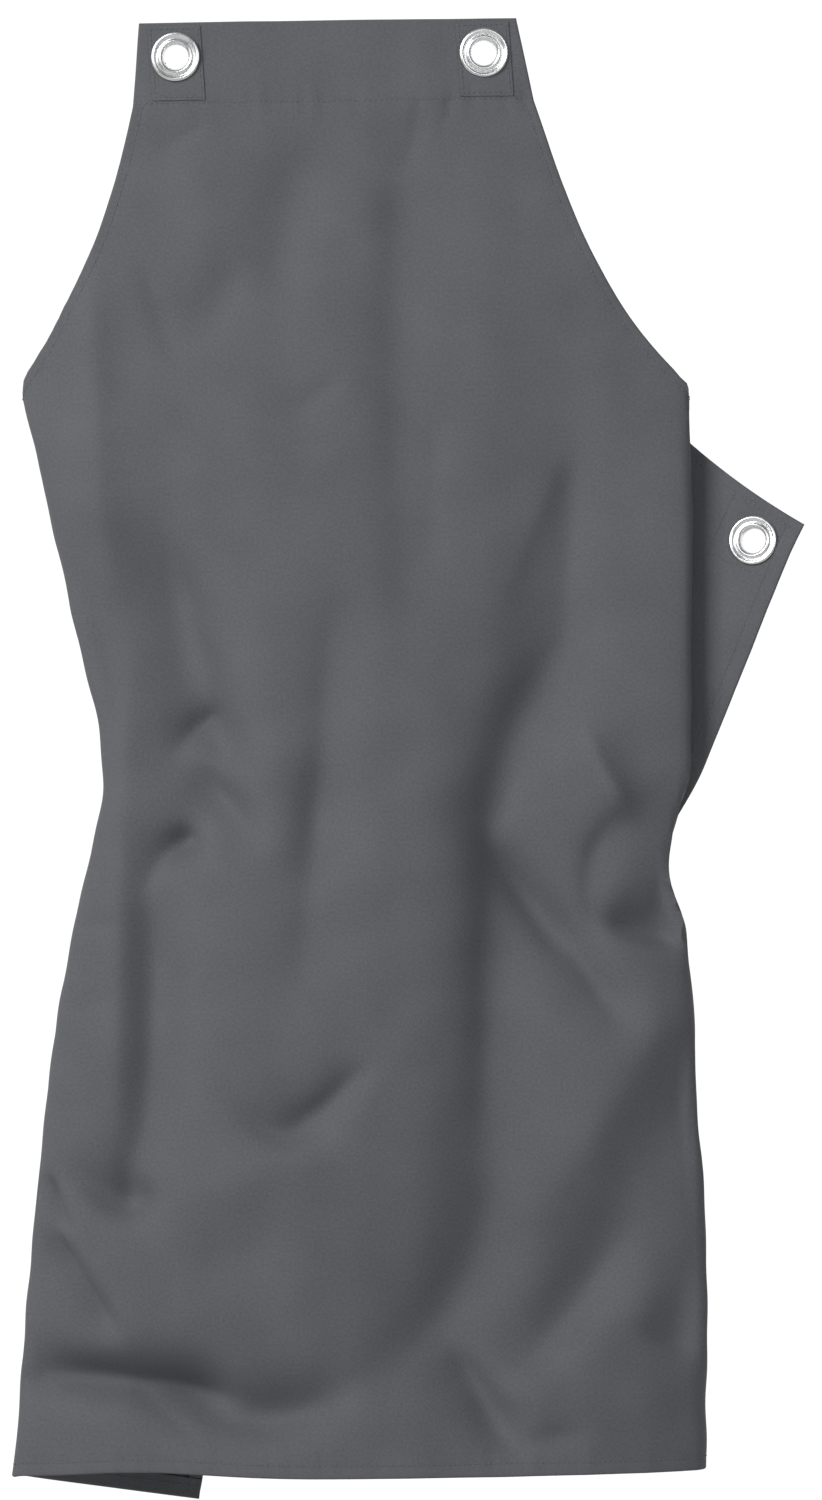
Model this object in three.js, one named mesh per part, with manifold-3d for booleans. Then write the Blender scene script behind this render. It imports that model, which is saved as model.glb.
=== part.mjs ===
// Bib apron: one cut of plain cloth with turned hems, standing in the form that it takes when worn,
// and a metal eyelet with its washer at each corner of the bib and at each side tip.
// Millimetres. +Z is up, the outside of the front faces -Y, and +X is the viewer's right.
// The origin lies midway between the two bib eyelets.

import * as THREE from "three";
import { mergeVertices } from "three/addons/utils/BufferGeometryUtils.js";
import Module from "manifold-3d";

const wasm = await Module();
wasm.setup();

const { clamp, degToRad, lerp, smoothstep } = THREE.MathUtils;

// The flat cut. "Across" is measured from the centre line and "drop" down from the top edge.
const CUT = {
  halfWidth: 360,
  length: 840,
  bibHalfTop: 109,
  bibHalfBand: 116,
  bandDrop: 48,
  tipDrop: 280,
  armholeTopHandle: [141, 137],
  armholeTipHandle: [176, 258],
  armholeBibShare: 0.5,
};
const HEM = { armhole: 7, side: 10, bottom: 12 };
const CLOTH = 1.0;
const GAP = 0.3;
const END_GAP = 0.5;
const STIFF_EDGE = 48;

// The worn form. The top edge stands above the origin, and the whole cloth hangs a little to one side.
const TOP_Z = 21;
const TILT = 0.013;

// A table's rows as objects with named columns.
function tableOf(columns, rows) {
  return rows.map((row) => Object.fromEntries(columns.map((column, n) => [column, row[n]])));
}

// Where the middle of the cloth stands at each drop.
const CENTRE_LINE = tableOf(["drop", "x", "y"], [
  [0, -1, -2.5],
  [70, 3.5, -4.5],
  [180, 7, -15.5],
  [300, 13, -26.5],
  [450, 14, -31.5],
  [600, 14, -33.5],
  [840, 14, -21.5],
]);

// How the cloth turns round each side of the body, one row for each drop, seen from above.
// The face bends by faceTurn up to the fold, whose outermost point stands at foldX. The fold turns the
// cloth on to backTurn, it runs back straight for the length of the tuck, and then a second fold turns
// it to flapTurn. The flap bends from there to edgeTurn, and its stiff side edge stays straight.
// Turns are in degrees.
// The cloth rises by lift on its way to the flap, and the flap slopes down by lean.
// The middle of the face takes only a share of its turn, and the round part beside it takes the rest.
const FACE = { flatTurnShare: 0.3, roundPart: 0.45 };
const WRAP_COLUMNS = [
  "drop", "foldX", "faceTurn", "foldRadius", "backTurn", "tuck", "flapTurn", "edgeTurn", "lift", "lean",
];
const LEFT_WRAP = tableOf(WRAP_COLUMNS, [
  [0, -178, 18, 7, 98, 5, 102, 130, 0, 0.10],
  [205, -178, 30, 7, 98, 5, 104, 144, 0, 0.13],
  [250, -169, 30, 14, 98, 5, 104, 144, 0, 0.13],
  [334, -150.5, 31, 24, 98, 5, 104, 144, 0, 0.13],
  [438, -130.5, 32, 24, 100, 5, 106, 152, 0, 0.15],
  [507, -145, 30, 20, 104, 5, 108, 152, 0, 0.16],
  [600, -161, 30, 17, 107, 5, 111, 152, 0, 0.17],
  [680, -169.5, 30, 15, 109, 5, 113, 151, 0, 0.18],
  [760, -177, 30, 14, 110, 5, 114, 150, 0, 0.18],
  [840, -184, 30, 13, 110, 5, 114, 150, 0, 0.18],
]);
const RIGHT_WRAP = tableOf(WRAP_COLUMNS, [
  [0, 202, 8, 5, 172, 22, -2, -16, 31, 0.44],
  [190, 203, 9, 5, 172, 22, -2, -18, 31, 0.44],
  [225, 208.5, 10, 5, 172, 23, -2, -18, 31, 0.44],
  [300, 209.5, 12, 5, 172, 38, -2, -18, 31, 0.44],
  [430, 208.5, 12, 5, 171, 64, 0, -10, 31, 0.44],
  [490, 196, 18, 7, 156, 76, 30, 34, 20, 0.36],
  [530, 206.5, 22, 10, 140, 70, 72, 90, 8, 0.28],
  [620, 212.5, 24, 14, 116, 50, 112, 136, 2, 0.18],
  [740, 219, 24, 14, 110, 40, 114, 144, 0, 0.15],
  [840, 219, 24, 14, 110, 40, 114, 144, 0, 0.15],
]);

// Drape folds on the front, seen from the front as x and z. Each is a stroke from one end by its middle to
// the other that fades out at both. It stands proud of the cloth by its rise, or is sunk where that is
// negative. Its first width is on the right of the direction in which it runs, its other width on the left,
// and its crease says how sharp its line is, from 0 for a soft fold to 1.
const FOLDS = tableOf(["name", "from", "by", "to", "first", "other", "rise", "crease"], [
  ["bib valley", [46, -45], [43, -177], [52, -383], 22, 28, -6.5, 0.1],
  ["bib hollow", [-10, -42], [-25, -99], [-37, -171], 26, 22, -6, 0.1],
  ["chest hollow left", [-51, -114], [-65, -145], [-85, -171], 18, 16, -4, 0],
  ["edge ridge left upper", [-136, -96], [-132, -211], [-121, -337], 14, 20, 5, 0.7],
  ["edge ridge left lower", [-121, -308], [-120, -474], [-124, -663], 12, 14, 6, 0.7],
  ["side valley left", [-82, -297], [-70, -345], [-62, -390], 42, 10, -15, 0.6],
  ["waist crease upper", [-62, -375], [-78, -380], [-103, -394], 11, 6, -7, 0.8],
  ["waist bulge upper", [-91, -395], [-67, -408], [-38, -431], 13, 11, 4, 0.3],
  ["waist valley lower", [-82, -412], [-78, -434], [-72, -458], 32, 7, -10, 0.6],
  ["waist crease lower", [-73, -455], [-93, -447], [-114, -474], 13, 7, -10, 0.7],
  ["thigh valley left", [-108, -423], [-100, -554], [-112, -680], 26, 16, -16, 0.5],
  ["belly valley", [4, -297], [-1, -428], [-21, -606], 18, 26, -10, 0.4],
  ["knee cup", [15, -581], [-22, -621], [-70, -579], 18, 10, -10, 0.7],
  ["knee lip", [58, -546], [31, -589], [-11, -623], 14, 18, 2, 0.2],
  ["shin ridge left", [-2, -624], [-42, -642], [-91, -666], 12, 18, 3, 0.2],
  ["shin hollow left", [-22, -672], [-48, -689], [-77, -706], 20, 22, -3.5, 0],
  ["main valley upper", [138, -337], [98, -417], [90, -520], 30, 40, -20, 0.6],
  ["main valley middle", [96, -434], [89, -537], [85, -658], 30, 42, -21, 0.6],
  ["main valley lower", [86, -589], [74, -701], [6, -769], 34, 40, -21, 0.6],
  ["armpit valley middle", [141, -262], [137, -325], [132, -388], 26, 7, -6, 0.7],
  ["armpit valley lower", [139, -303], [133, -366], [124, -428], 42, 9, -8, 0.6],
  ["hip ridge right", [137, -390], [117, -426], [93, -463], 9, 22, 6, 0.7],
  ["thigh crease right", [99, -456], [138, -513], [179, -572], 14, 18, -11, 0.8],
  ["hip crease upper right", [145, -402], [168, -416], [186, -442], 8, 12, -5, 0.7],
  ["hip crease middle right", [170, -433], [148, -469], [160, -532], 10, 14, -6, 0.6],
  ["hip crease lower right", [210, -502], [183, -503], [154, -490], 17, 8, -13, 0.9],
  ["skirt valley right", [230, -543], [185, -646], [121, -732], 34, 36, -13, 0.5],
  ["skirt valley foot", [168, -678], [137, -724], [98, -761], 20, 18, -9, 0.6],
  ["skirt ridge right", [207, -520], [159, -606], [107, -680], 22, 18, 4, 0.2],
  ["hem crease left", [-56, -772], [-114, -763], [-194, -750], 22, 18, -14, 0.3],
  ["hem crease middle", [15, -761], [-34, -787], [-85, -772], 20, 13, -13, 0.6],
  ["hem lip left", [-57, -784], [-125, -770], [-183, -765], 8, 26, 4, 0.3],
  ["hem crease right", [69, -742], [93, -778], [109, -808], 14, 12, -10, 0.8],
  ["hem ridge right", [176, -721], [133, -751], [98, -778], 9, 30, 6, 0.7],
  ["hem crease far right", [222, -740], [196, -738], [171, -727], 17, 8, -8, 0.8],
]);
// A stroke is laid down in spots, this share of its narrower width apart, and fades over a share of its length.
const STROKE = { spacing: 0.55, fade: 0.3, bluntness: 0.88 };
const FACE_ENDS_AT = { start: degToRad(38), end: degToRad(80) };

// Eyelets, measured from the cloth's outer face along the eyelet's axis.
const EYELET = {
  outerRadius: 14.2,
  holeRadius: 7.2,
  barrelRadius: 7.9,
  clothHoleRadius: 8.3,
  washerRadius: 11.6,
  washerThickness: 1.0,
  rollRadius: 9.6,
  rollDepth: 1.0,
  sides: 16,
  bibInset: 23,
  wingInset: 21.5,
  insetFromTop: 20,
};
const PATCH = { halfWidth: 15.3, above: 18, below: 25, cells: 3 };
const WING_PATCH = { width: 33, rows: 2, columns: 2 };

// How finely the cloth is faceted.
const GRID = {
  bandRows: 2,
  armholeRows: 7,
  skirtRows: 24,
  faceColumns: 24,
  leftWingColumns: 5,
  rightWingColumns: 13,
};

const clothMaterial = new THREE.MeshStandardMaterial({ color: 0x5d5e63, roughness: 0.9, metalness: 0 });
const metalMaterial = new THREE.MeshStandardMaterial({ color: 0xd4d6d8, roughness: 0.25, metalness: 1 });

// The flat outline

const ARMHOLE = new THREE.CubicBezierCurve(
  new THREE.Vector2(CUT.bibHalfBand, CUT.bandDrop),
  new THREE.Vector2(...CUT.armholeTopHandle),
  new THREE.Vector2(...CUT.armholeTipHandle),
  new THREE.Vector2(CUT.halfWidth, CUT.tipDrop),
);
// The armhole edge above this corner bounds the bib, and beyond it the edge tops the wing.
const CORNER = ARMHOLE.getPoint(CUT.armholeBibShare);

// The share of the armhole curve where its across (x) or its drop (y) has the value. Both grow along it.
function armholeShare(axis, value) {
  let low = 0;
  let high = 1;
  for (let halving = 0; halving < 40; halving++) {
    const middle = (low + high) / 2;
    if (ARMHOLE.getPoint(middle)[axis] < value) low = middle;
    else high = middle;
  }
  return low;
}

// Half the width of the cut at a drop above the armhole's corner, and how wide its hem lies there.
function bibEdge(drop) {
  if (drop <= CUT.bandDrop) {
    const flare = (CUT.bibHalfBand - CUT.bibHalfTop) / CUT.bandDrop;
    return { across: CUT.bibHalfTop + flare * drop, hem: HEM.armhole * Math.hypot(1, flare) };
  }
  const share = armholeShare("y", drop);
  const along = ARMHOLE.getTangent(share);
  return { across: ARMHOLE.getPoint(share).x, hem: HEM.armhole / along.y };
}

// The drop of the wing's top edge, and how deep its hem lies there.
function wingEdge(across) {
  const share = armholeShare("x", across);
  const along = ARMHOLE.getTangent(share);
  return { drop: ARMHOLE.getPoint(share).y, hem: HEM.armhole / along.x };
}

// The worn form

// The slope of a table's column at a row: flat at a turning point, so that nothing overshoots.
function columnSlope(table, column, row) {
  const rise = (n) => (table[n + 1][column] - table[n][column]) / (table[n + 1].drop - table[n].drop);
  if (row === 0) return rise(0);
  if (row === table.length - 1) return rise(row - 1);
  const before = rise(row - 1);
  const after = rise(row);
  return before * after <= 0 ? 0 : (2 * before * after) / (before + after);
}

// A table read at any drop, with smooth curves between its rows.
function readTable(table, drop) {
  const level = clamp(drop, table[0].drop, table[table.length - 1].drop);
  let row = 0;
  while (row < table.length - 2 && level > table[row + 1].drop) row++;
  const span = table[row + 1].drop - table[row].drop;
  const u = (level - table[row].drop) / span;
  const values = {};
  for (const column of Object.keys(table[0])) {
    const slopes = [columnSlope(table, column, row) * span, columnSlope(table, column, row + 1) * span];
    const ends = [table[row][column], table[row + 1][column]];
    values[column] =
      ends[0] * (1 + 2 * u) * (1 - u) ** 2 +
      ends[1] * u * u * (3 - 2 * u) +
      slopes[0] * u * (1 - u) ** 2 -
      slopes[1] * u * u * (1 - u);
  }
  return values;
}

// The arcs that the cloth follows from its centre line to one side edge, seen from above.
function wrapArcs(wrap, reach) {
  const turns = {};
  for (const name of ["faceTurn", "backTurn", "flapTurn", "edgeTurn"]) turns[name] = degToRad(wrap[name]);
  const { faceTurn, backTurn, flapTurn, edgeTurn } = turns;
  const flatTurn = FACE.flatTurnShare * faceTurn;
  const chord = reach - wrap.foldRadius * (1 - Math.sin(faceTurn));
  const roundReach = (FACE.roundPart * (Math.sin(faceTurn) - Math.sin(flatTurn))) / (faceTurn - flatTurn);
  const flatLength = chord / (Math.sin(flatTurn) / flatTurn + roundReach);
  const arcs = [
    { length: flatLength, from: 0, to: flatTurn },
    { length: FACE.roundPart * flatLength, from: flatTurn, to: faceTurn },
    { length: wrap.foldRadius * (backTurn - faceTurn), from: faceTurn, to: backTurn },
    { length: wrap.tuck, from: backTurn, to: backTurn },
    { length: wrap.foldRadius * Math.abs(flapTurn - backTurn), from: backTurn, to: flapTurn },
  ];
  const used = arcs.reduce((sum, arc) => sum + arc.length, 0);
  arcs.push({ length: CUT.halfWidth - used - STIFF_EDGE, from: flapTurn, to: edgeTurn });
  arcs.push({ length: STIFF_EDGE, from: edgeTurn, to: edgeTurn });
  return arcs;
}

// The place and heading reached after walking a length of cloth along the arcs.
function walkArcs(arcs, length) {
  const place = { x: 0, y: 0, turn: 0 };
  let left = length;
  for (const arc of arcs) {
    const run = Math.min(left, arc.length);
    if (run <= 0) continue;
    const bend = (arc.to - arc.from) / arc.length;
    place.turn = arc.from + bend * run;
    if (Math.abs(bend) < 1e-7) {
      place.x += run * Math.cos(arc.from);
      place.y += run * Math.sin(arc.from);
    } else {
      place.x += (Math.sin(place.turn) - Math.sin(arc.from)) / bend;
      place.y += (Math.cos(arc.from) - Math.cos(place.turn)) / bend;
    }
    left -= run;
  }
  return place;
}

// Each fold as a stroke of spots along its path, with the direction in which it runs there.
const strokes = FOLDS.map((fold) => {
  const [from, by, to] = [fold.from, fold.by, fold.to].map((place) => new THREE.Vector2(...place));
  const handle = by.clone().multiplyScalar(2).addScaledVector(from, -0.5).addScaledVector(to, -0.5);
  const path = new THREE.QuadraticBezierCurve(from, handle, to);
  const length = from.distanceTo(by) + by.distanceTo(to);
  const narrow = Math.min(fold.first, fold.other);
  const count = Math.max(4, Math.ceil(length / (STROKE.spacing * narrow)));
  const fullRise = (fold.rise * length) / count / (Math.sqrt(Math.PI) * narrow);
  const spots = [];
  for (let n = 0; n < count; n++) {
    const share = (n + 0.5) / count;
    const rise = fullRise * smoothstep(Math.min(share, 1 - share), 0, STROKE.fade);
    spots.push({ place: path.getPoint(share), run: path.getTangent(share), rise });
  }
  return { spots, narrow, first: fold.first, other: fold.other, blunt: 1 - STROKE.bluntness * fold.crease };
});

// How far the drape folds lift the front at a place seen from the front.
function foldRise(x, z) {
  let total = 0;
  for (const { spots, narrow, first, other, blunt } of strokes) {
    for (const { place, run, rise } of spots) {
      const [dx, dz] = [x - place.x, z - place.y];
      const along = dx * run.x + dz * run.y;
      const aside = dx * run.y - dz * run.x;
      const reach = (first + other) / 2 + ((first - other) / 2) * Math.tanh((2 * aside) / narrow);
      const slope = (Math.hypot(aside / reach, blunt) - blunt) / (Math.hypot(1, blunt) - blunt);
      total += rise * Math.exp(-slope - (along / narrow) ** 2);
    }
  }
  return total;
}

// The outer face of the cloth at a place of the flat cut.
function clothPoint(across, drop) {
  const side = across < 0 ? -1 : 1;
  const centre = readTable(CENTRE_LINE, drop);
  const wrap = readTable(side < 0 ? LEFT_WRAP : RIGHT_WRAP, drop);
  const arcs = wrapArcs(wrap, side * (wrap.foldX - centre.x));
  const place = walkArcs(arcs, Math.abs(across));
  const foldStart = arcs[0].length + arcs[1].length;
  const flapStart = CUT.halfWidth - STIFF_EDGE - arcs[5].length;
  const x = centre.x + side * place.x;
  const climb = wrap.lift * smoothstep(Math.abs(across), foldStart, flapStart);
  const slope = wrap.lean * Math.max(0, Math.abs(across) - flapStart);
  const z = TOP_Z - drop + TILT * x + climb - slope;
  const rise = foldRise(x, z) * (1 - smoothstep(place.turn, FACE_ENDS_AT.start, FACE_ENDS_AT.end));
  return new THREE.Vector3(
    x + side * Math.sin(place.turn) * rise,
    centre.y + place.y - Math.cos(place.turn) * rise,
    z,
  );
}

// The cloth's outer face at a place of the cut, with the direction that faces out there.
function clothFrame(across, drop) {
  const step = 0.5;
  const along = clothPoint(across + step, drop).sub(clothPoint(across - step, drop));
  const down = clothPoint(across, drop + step).sub(clothPoint(across, drop - step));
  return { point: clothPoint(across, drop), normal: down.cross(along).normalize() };
}

// The grid of the cut: every row runs the whole way across, and the wings start at the row of the corner.

const cornerRow = GRID.bandRows + GRID.armholeRows;
const lastRow = cornerRow + 1 + GRID.skirtRows + 1;
const cornerHem = wingEdge(CORNER.x).hem;

const rowDrops = [];
for (let n = 0; n <= GRID.bandRows; n++) rowDrops.push((CUT.bandDrop * n) / GRID.bandRows);
for (let n = 1; n <= GRID.armholeRows; n++) {
  rowDrops.push(lerp(CUT.bandDrop, CORNER.y, n / GRID.armholeRows));
}
const skirtTop = CORNER.y + cornerHem;
const skirtFoot = CUT.length - HEM.bottom;
for (let n = 0; n <= GRID.skirtRows; n++) rowDrops.push(lerp(skirtTop, skirtFoot, n / GRID.skirtRows));
rowDrops.push(CUT.length);

// The wing's columns, from the corner out to its patch, the side hem and the side edge.
function wingColumns(count) {
  const hemLine = CUT.halfWidth - HEM.side;
  const patchLine = hemLine - WING_PATCH.width;
  const columns = [];
  for (let n = 1; n <= count; n++) columns.push(lerp(CORNER.x, patchLine, n / count));
  for (let n = 1; n <= WING_PATCH.columns; n++) {
    columns.push(lerp(patchLine, hemLine, n / WING_PATCH.columns));
  }
  columns.push(CUT.halfWidth);
  return columns;
}
const rightWing = wingColumns(GRID.rightWingColumns);
const leftWing = wingColumns(GRID.leftWingColumns).reverse().map((across) => -across);
const firstFace = leftWing.length;
const lastFace = firstFace + GRID.faceColumns + 2;
const lastColumn = lastFace + rightWing.length;

// The place in the flat cut of a grid point.
function gridPlace(row, column) {
  if (column >= firstFace && column <= lastFace) {
    const edge = row < cornerRow ? bibEdge(rowDrops[row]) : { across: CORNER.x, hem: cornerHem };
    const inner = edge.across - edge.hem;
    const step = column - firstFace - 1;
    let across = lerp(-inner, inner, step / GRID.faceColumns);
    if (column === firstFace) across = -edge.across;
    if (column === lastFace) across = edge.across;
    return [across, rowDrops[row]];
  }
  const across = column < firstFace ? leftWing[column] : rightWing[column - lastFace - 1];
  if (row === lastRow) return [across, CUT.length];
  const top = wingEdge(Math.abs(across));
  if (row === cornerRow) return [across, top.drop];
  const share = (rowDrops[row] - skirtTop) / (skirtFoot - skirtTop);
  return [across, lerp(top.drop + top.hem, skirtFoot, share)];
}

// Whether a cell follows the cloth better when its crease falls to the right.
function fallsRight(row, column) {
  const corners = [[row, column], [row + 1, column + 1], [row + 1, column], [row, column + 1]];
  const places = corners.map(([r, c]) => new THREE.Vector2(...gridPlace(r, c)));
  const middle = new THREE.Vector2();
  for (const place of places) middle.addScaledVector(place, 1 / places.length);
  const points = places.map((place) => clothPoint(place.x, place.y));
  const centre = clothPoint(middle.x, middle.y);
  const falling = points[0].clone().lerp(points[1], 0.5).distanceTo(centre);
  const climbing = points[2].clone().lerp(points[3], 0.5).distanceTo(centre);
  return falling <= climbing;
}

const cells = [];
for (let row = 0; row < lastRow; row++) {
  for (let column = 0; column < lastColumn; column++) {
    const inFace = column >= firstFace && column < lastFace;
    if (inFace || row >= cornerRow) cells.push({ row, column, falls: fallsRight(row, column) });
  }
}

// Solids

// A layer of cloth over some cells, between two heights above the cloth's outer face.
// A place may be moved before it is worn, to keep the ends of two layers apart.
function layerGeometry(layerCells, placeOf, outer, inner) {
  const numbers = new Map();
  const outerPoints = [];
  const innerPoints = [];
  const numberOf = (row, column) => {
    const key = `${row},${column}`;
    if (!numbers.has(key)) {
      const { point, normal } = clothFrame(...placeOf(row, column));
      numbers.set(key, outerPoints.length);
      outerPoints.push(point.clone().addScaledVector(normal, outer));
      innerPoints.push(point.clone().addScaledVector(normal, inner));
    }
    return numbers.get(key);
  };
  // The four corners of a cell, turned so that its crease runs from the first to the third.
  const faces = layerCells.map(({ row, column, falls }) => {
    const corners = [
      numberOf(row, column),
      numberOf(row + 1, column),
      numberOf(row + 1, column + 1),
      numberOf(row, column + 1),
    ];
    return falls ? corners : [...corners.slice(1), corners[0]];
  });
  const back = outerPoints.length;
  const triangles = [];
  const edges = new Set();
  for (const [a, b, c, d] of faces) {
    triangles.push(a, b, c, a, c, d);
    triangles.push(back + a, back + c, back + b, back + a, back + d, back + c);
    for (const [from, to] of [[a, b], [b, c], [c, d], [d, a]]) edges.add(`${from},${to}`);
  }
  for (const edge of edges) {
    const [from, to] = edge.split(",").map(Number);
    if (edges.has(`${to},${from}`)) continue;
    triangles.push(to, from, back + from, to, back + from, back + to);
  }
  const geometry = new THREE.BufferGeometry().setFromPoints([...outerPoints, ...innerPoints]);
  geometry.setIndex(triangles);
  return geometry;
}

// A rectangular layer of its own cells, such as a patch: its box of the flat cut is across and drop.
function patchGeometry(across, drop, outer, inner) {
  const patchCells = [];
  for (let row = 0; row < PATCH.cells; row++) {
    for (let column = 0; column < PATCH.cells; column++) patchCells.push({ row, column, falls: true });
  }
  const placeOf = (row, column) => [
    lerp(across[0], across[1], column / PATCH.cells),
    lerp(drop[0], drop[1], row / PATCH.cells),
  ];
  return layerGeometry(patchCells, placeOf, outer, inner);
}

// The profile is turned about the eyelet's axis, which starts along Y and ends along the cloth's normal.
function turnedGeometry(profile) {
  const points = [...profile, profile[0]].map(([radius, height]) => new THREE.Vector2(radius, height));
  return new THREE.LatheGeometry(points, EYELET.sides);
}

function toManifold(geometry) {
  const bare = geometry.clone();
  bare.deleteAttribute("normal");
  bare.deleteAttribute("uv");
  const merged = mergeVertices(bare, 1e-3);
  return new wasm.Manifold(new wasm.Mesh({
    numProp: 3,
    vertProperties: new Float32Array(merged.attributes.position.array),
    triVerts: new Uint32Array(merged.index.array),
  }));
}

function cutHoles(geometry, holes) {
  let solid = toManifold(geometry);
  for (const hole of holes) solid = solid.subtract(toManifold(hole));
  const mesh = solid.getMesh();
  const cut = new THREE.BufferGeometry();
  cut.setAttribute("position", new THREE.BufferAttribute(new Float32Array(mesh.vertProperties), 3));
  cut.setIndex(Array.from(mesh.triVerts));
  return cut;
}

const apron = new THREE.Group();

function addPiece(name, geometry, material) {
  const mesh = new THREE.Mesh(geometry, material);
  mesh.name = name;
  apron.add(mesh);
  return mesh;
}

// Heights of the layers above the cloth's outer face.
const hemOuter = -CLOTH - GAP;
const hemInner = hemOuter - CLOTH;
const patchInner = GAP;
const patchOuter = GAP + CLOTH;

// Eyelet places in the flat cut.
const bibEyeletAcross = bibEdge(EYELET.insetFromTop).across - EYELET.bibInset;
const wingEyeletAcross = CUT.halfWidth - EYELET.wingInset;
const wingEyeletDrop = CUT.tipDrop + EYELET.insetFromTop;
const EYELETS = [
  { name: "bib_left", side: -1, across: bibEyeletAcross, drop: EYELET.insetFromTop, outerPatch: true },
  { name: "bib_right", side: 1, across: bibEyeletAcross, drop: EYELET.insetFromTop, outerPatch: true },
  { name: "wing_left", side: -1, across: wingEyeletAcross, drop: wingEyeletDrop, outerPatch: false },
  { name: "wing_right", side: 1, across: wingEyeletAcross, drop: wingEyeletDrop, outerPatch: false },
];

for (const eyelet of EYELETS) {
  const { point, normal } = clothFrame(eyelet.side * eyelet.across, eyelet.drop);
  eyelet.point = point;
  eyelet.turn = new THREE.Quaternion().setFromUnitVectors(new THREE.Vector3(0, 1, 0), normal);
  eyelet.hole = new THREE.CylinderGeometry(EYELET.clothHoleRadius, EYELET.clothHoleRadius, 20, EYELET.sides);
  eyelet.hole.applyQuaternion(eyelet.turn).translate(...point);
}
const [bibLeft, bibRight, wingLeft, wingRight] = EYELETS;

// The panel

const panelGeometry = layerGeometry(cells, gridPlace, 0, -CLOTH);
addPiece("apron_panel", cutHoles(panelGeometry, EYELETS.map((eyelet) => eyelet.hole)), clothMaterial);

// Hems, turned to the inside

const bandCells = cells.filter((cell) => cell.row < GRID.bandRows);
const topHem = layerGeometry(bandCells, gridPlace, hemOuter, hemInner);
addPiece("top_hem", cutHoles(topHem, [bibLeft.hole, bibRight.hole]), clothMaterial);

for (const side of [-1, 1]) {
  const suffix = side < 0 ? "left" : "right";
  const faceEdge = side < 0 ? firstFace : lastFace - 1;
  const sideEdge = side < 0 ? 0 : lastColumn - 1;
  const sideHemLine = side < 0 ? 1 : lastColumn - 1;
  const inWing = (column) => (side < 0 ? column < firstFace : column >= lastFace);

  const armholeCells = cells.filter(({ row, column }) => {
    const downBib = column === faceEdge && row >= GRID.bandRows && row <= cornerRow;
    const alongWing = row === cornerRow && inWing(column) && column !== sideEdge;
    return downBib || alongWing;
  });
  const armholePlace = (row, column) => {
    const [across, drop] = gridPlace(row, column);
    return [across, row === GRID.bandRows ? drop + END_GAP : drop];
  };
  const armholeHem = layerGeometry(armholeCells, armholePlace, hemOuter, hemInner);
  addPiece(`armhole_hem_${suffix}`, armholeHem, clothMaterial);

  const sideCells = cells.filter(({ row, column }) => {
    return column === sideEdge && row >= cornerRow && row < lastRow - 1;
  });
  const sidePlace = (row, column) => {
    const [across, drop] = gridPlace(row, column);
    const inward = column === sideHemLine ? side * END_GAP : 0;
    return [across + inward, row === lastRow - 1 ? drop - END_GAP : drop];
  };
  addPiece(`side_hem_${suffix}`, layerGeometry(sideCells, sidePlace, hemOuter, hemInner), clothMaterial);
}

const footCells = cells.filter((cell) => cell.row === lastRow - 1);
addPiece("bottom_hem", layerGeometry(footCells, gridPlace, hemOuter, hemInner), clothMaterial);

// Patches: outside the band at the bib, inside the wing at the side tips

for (const eyelet of [bibLeft, bibRight]) {
  const middle = eyelet.side * eyelet.across;
  const across = [middle - PATCH.halfWidth, middle + PATCH.halfWidth];
  const drop = [eyelet.drop - PATCH.above, eyelet.drop + PATCH.below];
  const patch = patchGeometry(across, drop, patchOuter, patchInner);
  addPiece(`eyelet_patch_${eyelet.name}`, cutHoles(patch, [eyelet.hole]), clothMaterial);
}
for (const eyelet of [wingLeft, wingRight]) {
  const hemLine = eyelet.side < 0 ? 1 : lastColumn - 1;
  const firstPatchColumn = eyelet.side < 0 ? hemLine : hemLine - WING_PATCH.columns;
  const firstPatchRow = cornerRow + 1;
  const patchCells = cells.filter(({ row, column }) => {
    const inRows = row >= firstPatchRow && row < firstPatchRow + WING_PATCH.rows;
    return inRows && column >= firstPatchColumn && column < firstPatchColumn + WING_PATCH.columns;
  });
  const patchPlace = (row, column) => {
    const [across, drop] = gridPlace(row, column);
    const inward = column === hemLine ? -eyelet.side * END_GAP : 0;
    return [across + inward, row === firstPatchRow ? drop + END_GAP : drop];
  };
  const patch = layerGeometry(patchCells, patchPlace, hemOuter, hemInner);
  addPiece(`eyelet_patch_${eyelet.name}`, cutHoles(patch, [eyelet.hole]), clothMaterial);
}

// Eyelets and washers

// The eyelet's section: a flange with an outer bead, a groove and an inner lip, the barrel through the
// cloth, and the roll that holds the washer.
function eyeletProfile(seat, rollTop) {
  const { outerRadius, holeRadius, barrelRadius, rollRadius, rollDepth } = EYELET;
  return [
    [outerRadius - 0.7, seat],
    [outerRadius, seat + 0.7],
    [outerRadius - 0.6, seat + 1.6],
    [outerRadius - 2.2, seat + 1.6],
    [outerRadius - 3.2, seat + 0.9],
    [holeRadius + 2.6, seat + 1.7],
    [holeRadius + 1.0, seat + 1.7],
    [holeRadius, seat + 0.7],
    [holeRadius, rollTop - rollDepth + 0.4],
    [holeRadius + 0.8, rollTop - rollDepth],
    [rollRadius, rollTop - rollDepth],
    [rollRadius, rollTop],
    [barrelRadius, rollTop],
    [barrelRadius, seat],
  ];
}

function washerProfile(top) {
  const { barrelRadius, washerRadius, washerThickness } = EYELET;
  const bore = barrelRadius + GAP;
  return [
    [washerRadius, top - washerThickness],
    [washerRadius, top],
    [bore, top],
    [bore, top - washerThickness],
  ];
}

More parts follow.
